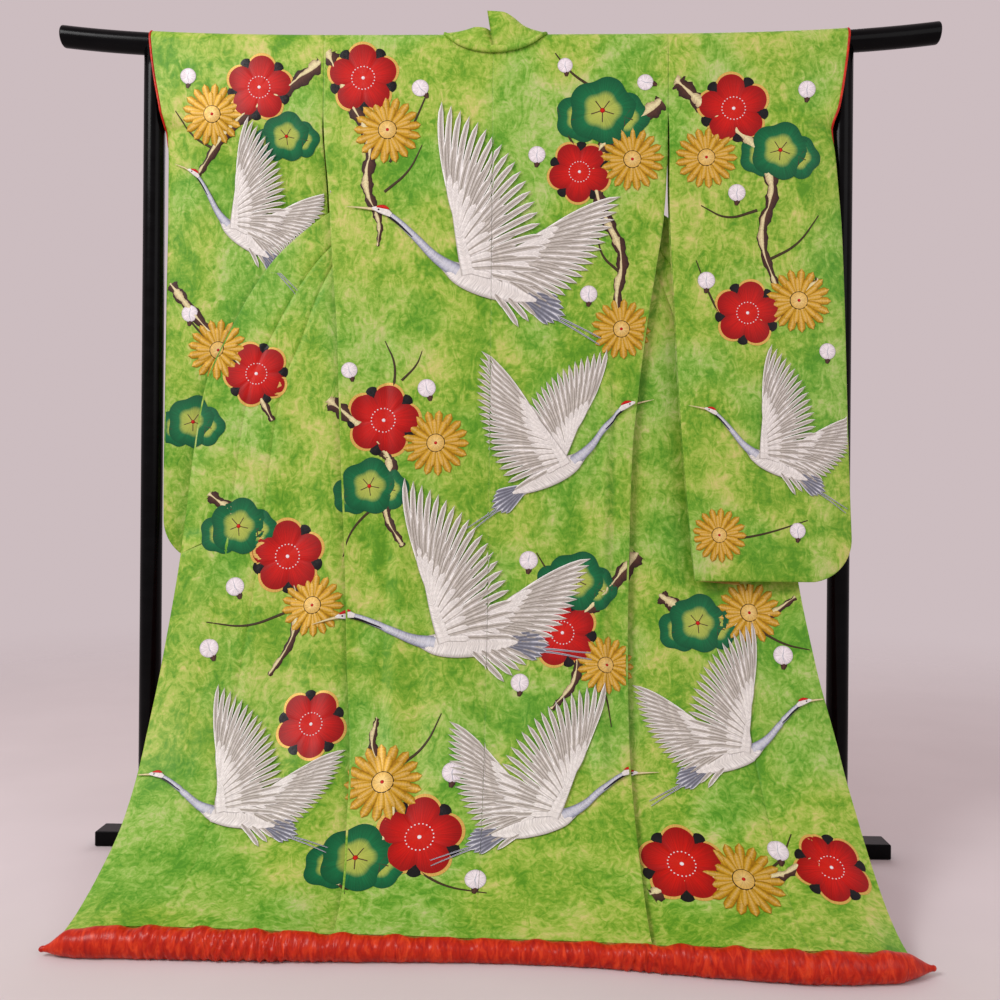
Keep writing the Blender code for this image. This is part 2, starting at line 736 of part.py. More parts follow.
def main():
    for item in list(bpy.data.objects):
        bpy.data.objects.remove(item)
    satin = new_material("green_satin", (0.42, 0.62, 0.13), 0.5)
    lining = new_material("red_lining", (0.68, 0.07, 0.03), 0.45)
    lacquer = new_material("black_lacquer", (0.01, 0.01, 0.012), 0.25)
    garment(satin, lining)
    stand(lacquer)


main()
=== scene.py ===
"""Uchikake wedding kimono on a kimono stand: the visual model over the CAD frame.

The cloth is laid out as in the CAD: a line down the back, from the shoulder over the rail
to the hem, and sections across it, given by x and by the depth behind the back's layer.
"""
import math
from collections import namedtuple

import bpy
import numpy as np
from mathutils import Matrix, Vector


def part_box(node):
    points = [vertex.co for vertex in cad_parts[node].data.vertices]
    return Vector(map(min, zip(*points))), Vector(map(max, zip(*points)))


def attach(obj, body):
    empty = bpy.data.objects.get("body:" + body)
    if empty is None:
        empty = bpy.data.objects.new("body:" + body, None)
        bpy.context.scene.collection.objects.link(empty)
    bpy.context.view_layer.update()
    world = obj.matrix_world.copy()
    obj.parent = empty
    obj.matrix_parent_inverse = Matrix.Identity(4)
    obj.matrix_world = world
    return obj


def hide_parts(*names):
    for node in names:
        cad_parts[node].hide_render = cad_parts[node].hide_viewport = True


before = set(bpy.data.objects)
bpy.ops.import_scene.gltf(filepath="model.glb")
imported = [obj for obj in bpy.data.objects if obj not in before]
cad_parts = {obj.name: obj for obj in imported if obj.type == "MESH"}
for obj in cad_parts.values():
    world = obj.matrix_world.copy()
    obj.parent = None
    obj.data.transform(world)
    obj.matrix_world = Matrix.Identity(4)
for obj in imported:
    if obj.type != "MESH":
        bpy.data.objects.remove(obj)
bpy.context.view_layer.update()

# Camera
CAMERA_PLACE = Vector((0.0692, -2.03, 0.708))
CAMERA_YAW = math.radians(1.5)
CAMERA_ROLL = 0.0081
LENS = 36.0
SENSOR = 36.0

# Cloth
WALL = 0.0024
SEAM = 0.00005
SEAM_DIP = 0.0015
SEAM_REACH = 0.0042
HALF_BACK = 0.325
COLLAR_WIDTH = 0.09
OVERLAP_WIDTH = 0.155
COLLAR_END = 0.60
COLLAR_SLANT = 0.045
COLLAR_LIFT = 0.0027
COLLAR_LAP = 0.0012
NECK_FOLD_SUNK = 0.0032
OVERLAP_TOP = 1.40
CENTRE_SEAM_X = -0.004
NECK_HALF_WIDTH = 0.105
NECK_DROP = 0.0565
SLEEVE_SEAM_X = 0.3455
CUFF_BOTTOM = 1.45
SLEEVE_CORNER = 0.085
SLEEVE_OPENING = 0.060
PIPING_RADIUS = 0.0026
ROLL_SEAT = math.cos(math.radians(30))
ROLL_SWELL = 0.0026
TURN_REACH = 0.016
NOWHERE = 9.0
HEM_EASE = 0.32
HEM_LEAN = math.radians(30)
RIPPLE = 0.0022
RIPPLE_WIDE = 0.23
RIPPLE_NARROW = 0.131

# Turned edges: how far in from an edge the cloth rounds off, in metres and in thickness
EDGE_STEPS = np.array([0.0, 0.0008, 0.0020, 0.0040])
EDGE_THICKNESS = np.array([0.30, 0.68, 0.90, 1.0])

# Stand
RAIL_HEIGHT = 1.626
RAIL_RADIUS = 0.022
RAIL_HALF_LENGTH = 0.889
RAIL_RISE = 0.010
RAIL_RISE_POWER = 4.1
POST_X = 0.698
POST_RADIUS = 0.0215
ARCH_RADIUS = RAIL_RADIUS + WALL / 2 + 0.0006
OVER_RAIL = ARCH_RADIUS * math.pi / 2

LEFT = -1
RIGHT = 1
SIDES = ((LEFT, "left"), (RIGHT, "right"))

ProfileRow = namedtuple("ProfileRow", "height forward")
BACK_PROFILE = (
    ProfileRow(1.626, 0.0238),
    ProfileRow(1.56, 0.0262),
    ProfileRow(1.45, 0.0285),
    ProfileRow(1.20, 0.035),
    ProfileRow(1.00, 0.044),
    ProfileRow(0.80, 0.060),
    ProfileRow(0.60, 0.085),
    ProfileRow(0.40, 0.135),
    ProfileRow(0.25, 0.200),
    ProfileRow(0.15, 0.280),
    ProfileRow(0.085, 0.370),
    ProfileRow(0.053, 0.440),
    ProfileRow(0.0425, 0.4835),
)

# The padded hem roll on the floor: its middle and its radius along x
HemRow = namedtuple("HemRow", "x y radius")
HEM_ROLL = (
    HemRow(-0.675, -0.510, 0.0060),
    HemRow(-0.655, -0.507, 0.0150),
    HemRow(-0.62, -0.504, 0.0212),
    HemRow(-0.50, -0.501, 0.0223),
    HemRow(-0.30, -0.501, 0.0205),
    HemRow(-0.21, -0.500, 0.0192),
    HemRow(-0.10, -0.497, 0.0178),
    HemRow(0.00, -0.4955, 0.0165),
    HemRow(0.12, -0.499, 0.0168),
    HemRow(0.215, -0.5065, 0.0175),
    HemRow(0.30, -0.518, 0.0195),
    HemRow(0.40, -0.531, 0.0212),
    HemRow(0.51, -0.540, 0.0219),
    HemRow(0.60, -0.535, 0.0205),
    HemRow(0.67, -0.518, 0.0140),
    HemRow(0.690, -0.513, 0.0060),
)

# The roll's pointed tips: its radius by the distance from the tip
TipRow = namedtuple("TipRow", "inward radius")
HEM_TIP = (
    TipRow(0.000, 0.0018),
    TipRow(0.003, 0.0056),
    TipRow(0.007, 0.0052),
    TipRow(0.009, 0.0056),
    TipRow(0.024, 0.0130),
    TipRow(0.040, 0.0205),
    TipRow(0.058, 0.0250),
    TipRow(0.100, 0.0300),
)
TIP_HEIGHT = 0.011
TIP_LENGTH = 0.055
TIP_REACH = 0.062
TIP_FULL_RADIUS = 0.025

# The cloth's corners hang lower beside the tips
CORNER_DROP = 0.012

# How the cloth's end is tucked down behind the roll: back and down from the hem
HEM_TUCK = ((0.0119, -0.0187), (0.0105, -0.0126), (0.0064, -0.0054))

# Waves along the roll: height, length and shift, of its top and of its whole surface
Wave = namedtuple("Wave", "height length shift")
TOP_WAVES = (Wave(0.0022, 0.074, 0.0), Wave(0.0012, 0.043, 1.0))
ROLL_WAVES = (Wave(0.0006, 0.067, 0.0), Wave(0.0004, 0.031, 1.0))

# Where the wadding bunches up along the hem: middle, reach, and how deep the gathers are
Gather = namedtuple("Gather", "x reach depth")
GATHERS = (
    Gather(-0.490, 0.045, 0.0022),
    Gather(-0.400, 0.050, 0.0032),
    Gather(-0.320, 0.045, 0.0040),
    Gather(-0.235, 0.035, 0.0020),
    Gather(-0.090, 0.120, 0.0012),
    Gather(0.110, 0.090, 0.0012),
    Gather(0.250, 0.040, 0.0042),
    Gather(0.330, 0.030, 0.0018),
    Gather(0.500, 0.110, 0.0013),
)

# Where the back's side fold and the front's free edge lie, by height, left and right
SideRow = namedtuple("SideRow", "height left_fold left_edge right_fold right_edge")
SIDE_LINES = (
    SideRow(0.00, 0.222, 0.655, 0.266, 0.662),
    SideRow(0.06, 0.226, 0.645, 0.266, 0.651),
    SideRow(0.14, 0.240, 0.637, 0.264, 0.653),
    SideRow(0.25, 0.252, 0.639, 0.262, 0.646),
    SideRow(0.40, 0.270, 0.630, 0.264, 0.620),
    SideRow(0.60, 0.285, 0.613, 0.270, 0.592),
    SideRow(0.80, 0.299, 0.597, 0.277, 0.580),
    SideRow(0.93, 0.306, 0.579, 0.290, 0.566),
    SideRow(1.05, 0.312, 0.530, 0.305, 0.520),
    SideRow(1.18, 0.323, 0.454, 0.325, 0.448),
    SideRow(1.27, 0.329, 0.360, 0.338, 0.360),
    SideRow(1.34, 0.334, 0.250, 0.343, 0.250),
    SideRow(1.42, 0.342, 0.140, 0.3455, 0.140),
    SideRow(1.50, 0.3455, 0.060, 0.3455, 0.060),
    SideRow(1.60, 0.3455, 0.000, 0.3455, 0.000),
    SideRow(1.66, 0.3455, 0.000, 0.3455, 0.000),
)

# Width of the front with its overlap and collar, and its depth behind the back
FrontRow = namedtuple("FrontRow", "height width depth fold_radius")
FRONTS = (
    FrontRow(0.00, 0.395, 0.0040, 0.0035),
    FrontRow(0.20, 0.395, 0.0050, 0.0050),
    FrontRow(0.93, 0.395, 0.0060, 0.0050),
    FrontRow(1.18, 0.367, 0.0070, 0.0050),
    FrontRow(1.30, 0.350, 0.0090, 0.0055),
    FrontRow(1.36, 0.345, 0.0160, 0.0070),
    FrontRow(1.42, 0.344, 0.0270, 0.0085),
    FrontRow(1.50, 0.344, 0.0380, 0.0090),
    FrontRow(1.626, 0.344, 0.0476, 0.0090),
)

# The sleeves' edges by height, and the y of the camera-side and far layers
SleeveRow = namedtuple("SleeveRow", "height inner outer near_y far_y")
SLEEVES = {
    LEFT: (
        SleeveRow(0.578, 0.3850, 0.668, -0.0170, -0.0030),
        SleeveRow(0.80, 0.3720, 0.672, -0.0100, 0.0060),
        SleeveRow(1.10, 0.3520, 0.671, -0.0060, 0.0110),
        SleeveRow(1.25, 0.3380, 0.669, -0.0070, 0.0130),
        SleeveRow(1.34, 0.3405, 0.668, -0.0135, 0.0150),
        SleeveRow(1.40, 0.3445, 0.667, -0.0200, 0.0170),
        SleeveRow(1.45, 0.3475, 0.669, -0.0260, 0.0200),
        SleeveRow(1.49, 0.346, 0.676, -0.0280, 0.0245),
        SleeveRow(1.56, 0.346, 0.690, -0.0262, 0.0255),
        SleeveRow(1.626, 0.346, 0.699, -0.0238, 0.0238),
        SleeveRow(1.66, 0.346, 0.701, -0.0238, 0.0238),
    ),
    RIGHT: (
        SleeveRow(0.556, 0.3930, 0.694, -0.1140, -0.0980),
        SleeveRow(0.70, 0.3810, 0.695, -0.0900, -0.0720),
        SleeveRow(0.90, 0.3670, 0.694, -0.0690, -0.0500),
        SleeveRow(1.10, 0.3575, 0.692, -0.0540, -0.0350),
        SleeveRow(1.25, 0.3495, 0.688, -0.0460, -0.0240),
        SleeveRow(1.34, 0.3475, 0.682, -0.0420, -0.0150),
        SleeveRow(1.40, 0.3475, 0.677, -0.0400, -0.0080),
        SleeveRow(1.45, 0.3475, 0.671, -0.0340, 0.0020),
        SleeveRow(1.49, 0.346, 0.683, -0.0285, 0.0245),
        SleeveRow(1.56, 0.346, 0.695, -0.0262, 0.0255),
        SleeveRow(1.626, 0.346, 0.703, -0.0238, 0.0238),
        SleeveRow(1.66, 0.346, 0.705, -0.0238, 0.0238),
    ),
}

# The collar's free edge round the neck: turn is 0 at the centre back, 1 on the shoulder,
# and 2 where the collar leaves the rail on the far side
NeckRow = namedtuple("NeckRow", "turn left_x left_y left_z right_x right_y right_z")
NECK = (
    NeckRow(0.0, -0.010, -0.010, 1.643, -0.013, -0.022, 1.691),
    NeckRow(0.3, 0.018, -0.014, 1.660, 0.016, -0.020, 1.690),
    NeckRow(0.6, 0.042, -0.008, 1.664, 0.048, -0.010, 1.673),
    NeckRow(1.0, 0.056, 0.008, 1.657, 0.060, 0.008, 1.662),
    NeckRow(1.4, 0.042, 0.020, 1.653, 0.042, 0.020, 1.655),
    NeckRow(2.0, 0.022, 0.027, 1.640, 0.022, 0.027, 1.640),
)

# Soft creases of the hanging body: from x, height down to x, height, with
# the width of the trough and its depth, which is negative for a ridge
Crease = namedtuple("Crease", "x_top z_top x_bottom z_bottom width depth")
BODY_CREASES = (
    Crease(0.215, 1.30, 0.205, 0.62, 0.012, 0.0022),
    Crease(0.248, 1.15, 0.228, 0.15, 0.010, 0.0034),
    Crease(0.232, 1.00, 0.205, 0.10, 0.012, -0.0030),
    Crease(0.165, 0.80, 0.185, 0.09, 0.016, 0.0026),
    Crease(0.120, 0.52, 0.130, 0.07, 0.018, -0.0022),
    Crease(0.060, 0.40, 0.075, 0.07, 0.014, 0.0018),
    Crease(-0.060, 0.95, -0.055, 0.30, 0.018, 0.0013),
    Crease(-0.120, 0.60, -0.135, 0.07, 0.016, 0.0022),
    Crease(-0.180, 0.75, -0.170, 0.09, 0.014, -0.0022),
    Crease(-0.215, 1.20, -0.195, 0.12, 0.010, 0.0030),
    Crease(-0.262, 1.10, -0.240, 0.40, 0.012, 0.0014),
    Crease(0.330, 0.45, 0.350, 0.07, 0.014, 0.0022),
    Crease(0.395, 0.62, 0.430, 0.08, 0.018, -0.0020),
    Crease(0.470, 0.36, 0.520, 0.07, 0.014, 0.0020),
    Crease(-0.320, 0.50, -0.330, 0.07, 0.014, 0.0022),
    Crease(-0.400, 0.40, -0.430, 0.07, 0.016, -0.0018),
    Crease(-0.480, 0.34, -0.530, 0.07, 0.014, 0.0020),
    Crease(0.020, 1.58, 0.150, 1.44, 0.014, 0.0008),
    Crease(-0.040, 1.58, -0.170, 1.42, 0.014, 0.0008),
    Crease(-0.325, 1.02, 0.325, 1.02, 0.006, 0.0006),
    Crease(-0.320, 0.60, 0.300, 0.59, 0.006, 0.0007),
)
SLEEVE_CREASES = {
    LEFT: (
        Crease(-0.628, 1.64, -0.618, 1.12, 0.006, 0.0015),
        Crease(-0.66, 0.985, -0.37, 0.985, 0.006, 0.0012),
        Crease(-0.40, 1.50, -0.43, 1.20, 0.012, 0.0016),
        Crease(-0.52, 1.62, -0.54, 1.30, 0.016, 0.0014),
    ),
    RIGHT: (
        Crease(0.64, 1.62, 0.655, 1.15, 0.008, 0.0014),
        Crease(0.37, 0.792, 0.695, 0.786, 0.006, 0.0013),
        Crease(0.395, 1.50, 0.42, 1.10, 0.012, 0.0018),
        Crease(0.50, 1.62, 0.52, 1.32, 0.016, 0.0013),
        Crease(0.56, 0.95, 0.55, 0.70, 0.018, 0.0014),
    ),
}


# Embroidery. Lengths are in metres; x is across the garment, as in the CAD, and down is the
# length along the cloth from the top of the shoulder.
THREADS_PER_METRE = 700.0
STITCH_BASE = WALL / 2 + 0.0003
NOTCH_DEPTH = 0.58
LOBE_SIZE = 0.42
BRANCH_WEIGHT = 1.4
CRANE_LIFT = 0.0014

# A thread's colours from a shape's middle, 0, to its edge, 1, and how far its stitches lean
Thread = namedtuple("Thread", "stops lean roughness metallic")
THREADS = {
    "feather": Thread(((0.0, (128, 120, 110)), (0.22, (184, 178, 168)), (0.66, (196, 190, 182)),
                       (0.84, (246, 244, 240))), 0.010, 0.38, 0.0),
    "down": Thread(((0.0, (222, 218, 212)), (0.7, (232, 229, 224)), (1.0, (170, 164, 156))), 0.008, 0.4, 0.0),
    "tail": Thread(((0.0, (96, 98, 110)), (0.6, (142, 145, 158)), (0.85, (222, 224, 232))), 0.008, 0.38, 0.0),
    "neck": Thread(((0.0, (206, 208, 216)), (0.6, (176, 180, 194)),
                    (1.0, (112, 116, 130))), 0.004, 0.38, 0.0),
    "red": Thread(((0.0, (208, 26, 6)), (0.55, (190, 10, 3)), (0.92, (152, 2, 1))), 0.0, 0.45, 0.0),
    "gold": Thread(((0.0, (216, 178, 100)), (0.5, (196, 150, 24)), (0.95, (156, 110, 8))), 0.0, 0.42, 0.2),
    "pale gold": Thread(((0.0, (232, 204, 136)), (1.0, (214, 172, 84))), 0.0, 0.4, 0.2),
    "green": Thread(((0.0, (186, 192, 84)), (0.44, (158, 176, 76)), (0.60, (12, 108, 62)),
                     (1.0, (0, 84, 48))), 0.0, 0.45, 0.0),
    "bark": Thread(((0.0, (84, 52, 40)), (1.0, (48, 26, 22))), 0.006, 0.5, 0.0),
    "pale bark": Thread(((0.0, (230, 220, 168)), (1.0, (176, 156, 116))), 0.006, 0.45, 0.0),
    "twig": Thread(((0.0, (70, 56, 28)), (1.0, (44, 34, 18))), 0.004, 0.5, 0.0),
    "ink": Thread(((0.0, (18, 16, 20)), (1.0, (10, 8, 10))), 0.0, 0.4, 0.0),
    "white": Thread(((0.0, (242, 236, 238)), (0.8, (230, 222, 226)), (1.0, (196, 188, 192))), 0.0, 0.4, 0.0),
}

# Flying cranes: the side to which the head points, how far it is raised, and each wing's arm
# with the sweep of its feathers, in degrees
Crane = namedtuple("Crane", "x down size head raised near near_sweep far far_sweep")
BACK_CRANES = (
    Crane(-0.030, 0.520, 0.340, LEFT, 14, 62, 112, 132, 84),
    Crane(0.130, 0.900, 0.270, RIGHT, 22, 100, 84, 40, 92),
    Crane(-0.060, 1.240, 0.320, LEFT, -8, 78, 104, 152, 74),
    Crane(0.105, 1.570, 0.260, RIGHT, 10, 54, 112, 120, 84),
)
LEFT_CRANES = (
    Crane(-0.520, 0.420, 0.215, LEFT, 32, 62, 108, 122, 86),
    Crane(-0.450, 1.570, 0.240, LEFT, 6, 68, 104, 136, 80),
)
RIGHT_CRANES = (
    Crane(0.540, 0.880, 0.215, LEFT, 20, 70, 106, 130, 84),
    Crane(0.460, 1.440, 0.235, RIGHT, 16, 62, 108, 126, 84),
)
FAR_CRANES = (
    Crane(-0.520, 0.620, 0.190, RIGHT, 18, 62, 100, 124, 80),
    Crane(0.520, 0.480, 0.190, LEFT, 12, 66, 98, 130, 78),
)

Flower = namedtuple("Flower", "kind x down radius turn")
FLOWERS = (
    Flower("chrysanthemum", -0.215, 0.215, 0.062, 10),
    Flower("blossom", -0.265, 0.110, 0.070, 20),
    Flower("bud", -0.150, 0.130, 0.017, 40),
    Flower("pine", 0.215, 0.175, 0.085, 0),
    Flower("chrysanthemum", 0.275, 0.275, 0.058, 5),
    Flower("blossom", 0.170, 0.300, 0.062, 50),
    Flower("bud", 0.085, 0.265, 0.017, 0),
    Flower("bud", 0.300, 0.120, 0.016, 80),
    Flower("bud", 0.140, 0.085, 0.015, 10),
    Flower("chrysanthemum", 0.255, 0.615, 0.055, 0),
    Flower("bud", 0.190, 0.545, 0.017, 0),
    Flower("blossom", -0.215, 0.800, 0.072, 5),
    Flower("chrysanthemum", -0.110, 0.845, 0.060, 0),
    Flower("pine", -0.240, 0.930, 0.070, 8),
    Flower("bud", -0.130, 0.735, 0.018, 20),
    Flower("bud", -0.285, 0.700, 0.016, 20),
    Flower("pine", 0.168, 1.112, 0.072, -6),
    Flower("blossom", 0.140, 1.215, 0.066, 30),
    Flower("chrysanthemum", 0.222, 1.275, 0.050, 0),
    Flower("bud", 0.075, 1.075, 0.018, 0),
    Flower("bud", 0.060, 1.310, 0.017, 0),
    Flower("chrysanthemum", -0.185, 1.500, 0.066, 12),
    Flower("blossom", -0.110, 1.600, 0.075, 15),
    Flower("pine", -0.215, 1.640, 0.080, 4),
    Flower("bud", -0.060, 1.480, 0.019, 0),
    Flower("bud", -0.010, 1.675, 0.018, 0),
    Flower("blossom", -0.475, 0.130, 0.066, 12),
    Flower("chrysanthemum", -0.570, 0.185, 0.056, 0),
    Flower("pine", -0.420, 0.225, 0.060, 6),
    Flower("bud", -0.620, 0.110, 0.016, 0),
    Flower("chrysanthemum", -0.560, 0.655, 0.058, 0),
    Flower("blossom", -0.475, 0.705, 0.064, 40),
    Flower("bud", -0.620, 0.580, 0.017, 0),
    Flower("pine", -0.610, 0.800, 0.068, 0),
    Flower("pine", -0.500, 1.010, 0.070, 6),
    Flower("blossom", -0.400, 1.070, 0.072, 22),
    Flower("chrysanthemum", -0.345, 1.165, 0.056, 0),
    Flower("bud", -0.500, 1.130, 0.018, 30),
    Flower("bud", -0.540, 1.250, 0.018, 30),
    Flower("blossom", -0.330, 1.390, 0.064, 60),
    Flower("blossom", 0.475, 0.175, 0.070, 25),
    Flower("pine", 0.565, 0.260, 0.072, -4),
    Flower("chrysanthemum", 0.420, 0.275, 0.056, 0),
    Flower("bud", 0.620, 0.140, 0.017, 0),
    Flower("bud", 0.480, 0.345, 0.017, 0),
    Flower("chrysanthemum", 0.600, 0.560, 0.058, 0),
    Flower("blossom", 0.500, 0.585, 0.064, 8),
    Flower("bud", 0.420, 0.520, 0.017, 0),
    Flower("bud", 0.655, 0.660, 0.016, 0),
    Flower("chrysanthemum", 0.440, 1.020, 0.048, 0),
    Flower("bud", 0.590, 1.010, 0.015, 0),
    Flower("pine", 0.400, 1.190, 0.070, 4),
    Flower("chrysanthemum", 0.500, 1.170, 0.056, 0),
    Flower("bud", 0.560, 1.250, 0.018, 0),
    Flower("blossom", 0.335, 1.640, 0.068, 18),
    Flower("chrysanthemum", 0.430, 1.665, 0.060, 0),
    Flower("blossom", 0.580, 1.640, 0.060, 44),
    Flower("bud", 0.500, 1.610, 0.018, 0),
)
FAR_FLOWERS = (
    Flower("blossom", -0.200, 0.190, 0.070, 12),
    Flower("chrysanthemum", -0.290, 0.250, 0.056, 0),
    Flower("pine", -0.560, 0.220, 0.070, 0),
    Flower("blossom", -0.460, 0.260, 0.064, 30),
    Flower("chrysanthemum", -0.480, 0.890, 0.058, 0),
    Flower("blossom", -0.580, 0.930, 0.060, 30),
    Flower("pine", 0.190, 0.180, 0.072, 0),
    Flower("blossom", 0.285, 0.235, 0.062, 40),
    Flower("chrysanthemum", 0.470, 0.190, 0.060, 0),
    Flower("blossom", 0.575, 0.240, 0.062, 10),
    Flower("pine", 0.560, 0.780, 0.070, 0),
    Flower("chrysanthemum", 0.470, 0.850, 0.056, 0),
    Flower("bud", 0.600, 0.680, 0.017, 0),
    Flower("bud", -0.600, 0.400, 0.017, 0),
)

# Branches and twigs: x, down and half width from the thick end on
BRANCHES = (
    ((-0.335, 0.060, 0.011), (-0.290, 0.160, 0.010), (-0.240, 0.240, 0.009), (-0.262, 0.330, 0.008),
     (-0.225, 0.400, 0.005), (-0.232, 0.450, 0.002)),
    ((0.335, 0.160, 0.011), (0.260, 0.220, 0.010), (0.190, 0.270, 0.009), (0.215, 0.380, 0.008),
     (0.265, 0.470, 0.008), (0.240, 0.560, 0.006), (0.275, 0.650, 0.003)),
    ((-0.325, 0.760, 0.010), (-0.240, 0.830, 0.010), (-0.190, 0.880, 0.009), (-0.215, 0.980, 0.007),
     (-0.170, 1.050, 0.004)),
    ((0.290, 1.060, 0.010), (0.215, 1.150, 0.009), (0.160, 1.200, 0.008), (0.175, 1.300, 0.006),
     (0.120, 1.360, 0.003)),
    ((-0.235, 1.700, 0.010), (-0.170, 1.620, 0.010), (-0.150, 1.530, 0.008), (-0.215, 1.440, 0.006),
     (-0.205, 1.380, 0.003)),
    ((-0.350, 0.080, 0.010), (-0.440, 0.150, 0.010), (-0.530, 0.200, 0.008), (-0.600, 0.300, 0.004)),
    ((-0.660, 0.520, 0.008), (-0.580, 0.620, 0.008), (-0.500, 0.690, 0.008), (-0.440, 0.800, 0.004)),
    ((-0.560, 0.950, 0.008), (-0.450, 1.030, 0.009), (-0.380, 1.110, 0.008), (-0.370, 1.220, 0.006),
     (-0.420, 1.300, 0.003)),
    ((0.365, 0.120, 0.011), (0.450, 0.200, 0.011), (0.520, 0.250, 0.010), (0.560, 0.340, 0.008),
     (0.520, 0.430, 0.007), (0.560, 0.540, 0.004)),
    ((0.640, 0.520, 0.006), (0.560, 0.590, 0.006), (0.470, 0.620, 0.003)),
    ((0.330, 1.140, 0.009), (0.420, 1.200, 0.008), (0.520, 1.190, 0.006), (0.590, 1.140, 0.003)),
    ((0.280, 1.700, 0.009), (0.360, 1.660, 0.009), (0.470, 1.670, 0.007), (0.560, 1.620, 0.004)),
)
TWIGS = (
    ((-0.140, 0.150, 0.0016), (-0.165, 0.210, 0.0024), (-0.210, 0.280, 0.0030)),
    ((-0.220, 0.340, 0.0030), (-0.170, 0.300, 0.0022), (-0.145, 0.245, 0.0010)),
    ((0.205, 0.290, 0.0030), (0.150, 0.240, 0.0024), (0.125, 0.170, 0.0010)),
    ((0.120, 0.060, 0.0012), (0.150, 0.100, 0.0022), (0.195, 0.130, 0.0030)),
    ((0.250, 0.500, 0.0030), (0.215, 0.470, 0.0022), (0.205, 0.420, 0.0010)),
    ((-0.215, 0.960, 0.0030), (-0.270, 1.010, 0.0022), (-0.290, 1.070, 0.0010)),
    ((-0.200, 0.760, 0.0030), (-0.190, 0.690, 0.0022), (-0.215, 0.640, 0.0010)),
    ((-0.180, 0.720, 0.0026), (-0.150, 0.690, 0.0018), (-0.140, 0.660, 0.0008)),
    ((0.170, 1.270, 0.0030), (0.220, 1.320, 0.0022), (0.230, 1.390, 0.0010)),
    ((0.090, 1.060, 0.0010), (0.120, 1.110, 0.0022), (0.180, 1.140, 0.0030)),
    ((-0.160, 1.470, 0.0030), (-0.110, 1.430, 0.0022), (-0.085, 1.370, 0.0010)),
    ((-0.130, 1.640, 0.0030), (-0.070, 1.690, 0.0022), (0.010, 1.700, 0.0010)),
    ((-0.570, 0.250, 0.0028), (-0.610, 0.230, 0.0020), (-0.645, 0.180, 0.0010)),
    ((-0.560, 0.650, 0.0028), (-0.620, 0.600, 0.0020), (-0.640, 0.540, 0.0010)),
    ((-0.400, 1.180, 0.0028), (-0.470, 1.210, 0.0022), (-0.550, 1.200, 0.0010)),
    ((0.520, 0.380, 0.0030), (0.460, 0.400, 0.0022), (0.410, 0.370, 0.0010)),
    ((0.540, 0.480, 0.0030), (0.600, 0.450, 0.0022), (0.640, 0.390, 0.0010)),
    ((0.460, 0.610, 0.0028), (0.430, 0.560, 0.0022), (0.400, 0.480, 0.0010)),
    ((0.440, 1.030, 0.0024), (0.520, 1.020, 0.0020), (0.610, 0.990, 0.0010)),
    ((0.500, 1.190, 0.0028), (0.560, 1.230, 0.0022), (0.610, 1.240, 0.0010)),
    ((0.450, 1.660, 0.0028), (0.500, 1.630, 0.0020), (0.530, 1.580, 0.0010)),
)
FAR_BRANCHES = (
    ((-0.335, 0.070, 0.010), (-0.260, 0.170, 0.009), (-0.200, 0.240, 0.007), (-0.150, 0.300, 0.003)),
    ((-0.640, 0.120, 0.010), (-0.550, 0.220, 0.009), (-0.450, 0.300, 0.007), (-0.440, 0.400, 0.003)),
    ((-0.400, 0.840, 0.008), (-0.500, 0.910, 0.008), (-0.620, 0.900, 0.004)),
    ((0.120, 0.090, 0.009), (0.200, 0.190, 0.009), (0.290, 0.260, 0.006), (0.330, 0.330, 0.003)),
    ((0.400, 0.110, 0.010), (0.480, 0.200, 0.009), (0.590, 0.260, 0.006), (0.640, 0.340, 0.003)),
    ((0.400, 0.760, 0.008), (0.500, 0.820, 0.008), (0.620, 0.760, 0.004)),
)


def column(rows, field):
    return np.array([getattr(row, field) for row in rows])


def smooth(rows, key, field, at):
    """A smooth curve through one column of a table, with no overshoot between its rows."""
    xs = column(rows, key)
    ys = column(rows, field)
    slopes = np.diff(ys) / np.diff(xs)
    tangents = np.zeros(len(xs))
    tangents[0] = slopes[0]
    tangents[-1] = slopes[-1]
    same_way = slopes[:-1] * slopes[1:] > 0
    inner = np.zeros(len(slopes) - 1)
    inner[same_way] = 2 / (1 / slopes[:-1][same_way] + 1 / slopes[1:][same_way])
    tangents[1:-1] = inner
    at = np.clip(np.asarray(at, dtype=float), xs[0], xs[-1])
    span = np.clip(np.searchsorted(xs, at, side="right") - 1, 0, len(xs) - 2)
    width = xs[span + 1] - xs[span]
    f = (at - xs[span]) / width
    return (
        (1 + 2 * f) * (1 - f) ** 2 * ys[span]
        + f * (1 - f) ** 2 * width * tangents[span]
        + f * f * (3 - 2 * f) * ys[span + 1]
        - f * f * (1 - f) * width * tangents[span + 1]
    )


def ease(value):
    f = np.clip(value, 0.0, 1.0)
    return f * f * (3 - 2 * f)


def rail_lift(x):
    """How far the upswept rail stands above its middle."""
    return RAIL_RISE * (np.abs(x) / POST_X) ** RAIL_RISE_POWER


def back_line():
    """The line down the back: arc length, y and z of fine steps, from shoulder to hem."""
    heights = np.concatenate([np.linspace(1.626, 0.15, 160), np.linspace(0.15, 0.0425, 80)[1:]])
    forward = smooth(BACK_PROFILE[::-1], "height", "forward", heights)
    angles = np.linspace(0.0, math.pi / 2, 24)[:-1]
    y = np.concatenate([-ARCH_RADIUS * np.sin(angles), -forward])
    z = np.concatenate([RAIL_HEIGHT + ARCH_RADIUS * np.cos(angles), heights])
    length = np.concatenate([[0.0], np.cumsum(np.hypot(np.diff(y), np.diff(z)))])
    return length, y, z


LINE_LENGTH, LINE_Y, LINE_Z = back_line()
HEM_LENGTH = LINE_LENGTH[-1]


def length_at_height(z):
    return np.interp(-np.asarray(z), -LINE_Z, LINE_LENGTH)


def height_at_length(length):
    return np.interp(length, LINE_LENGTH, LINE_Z)


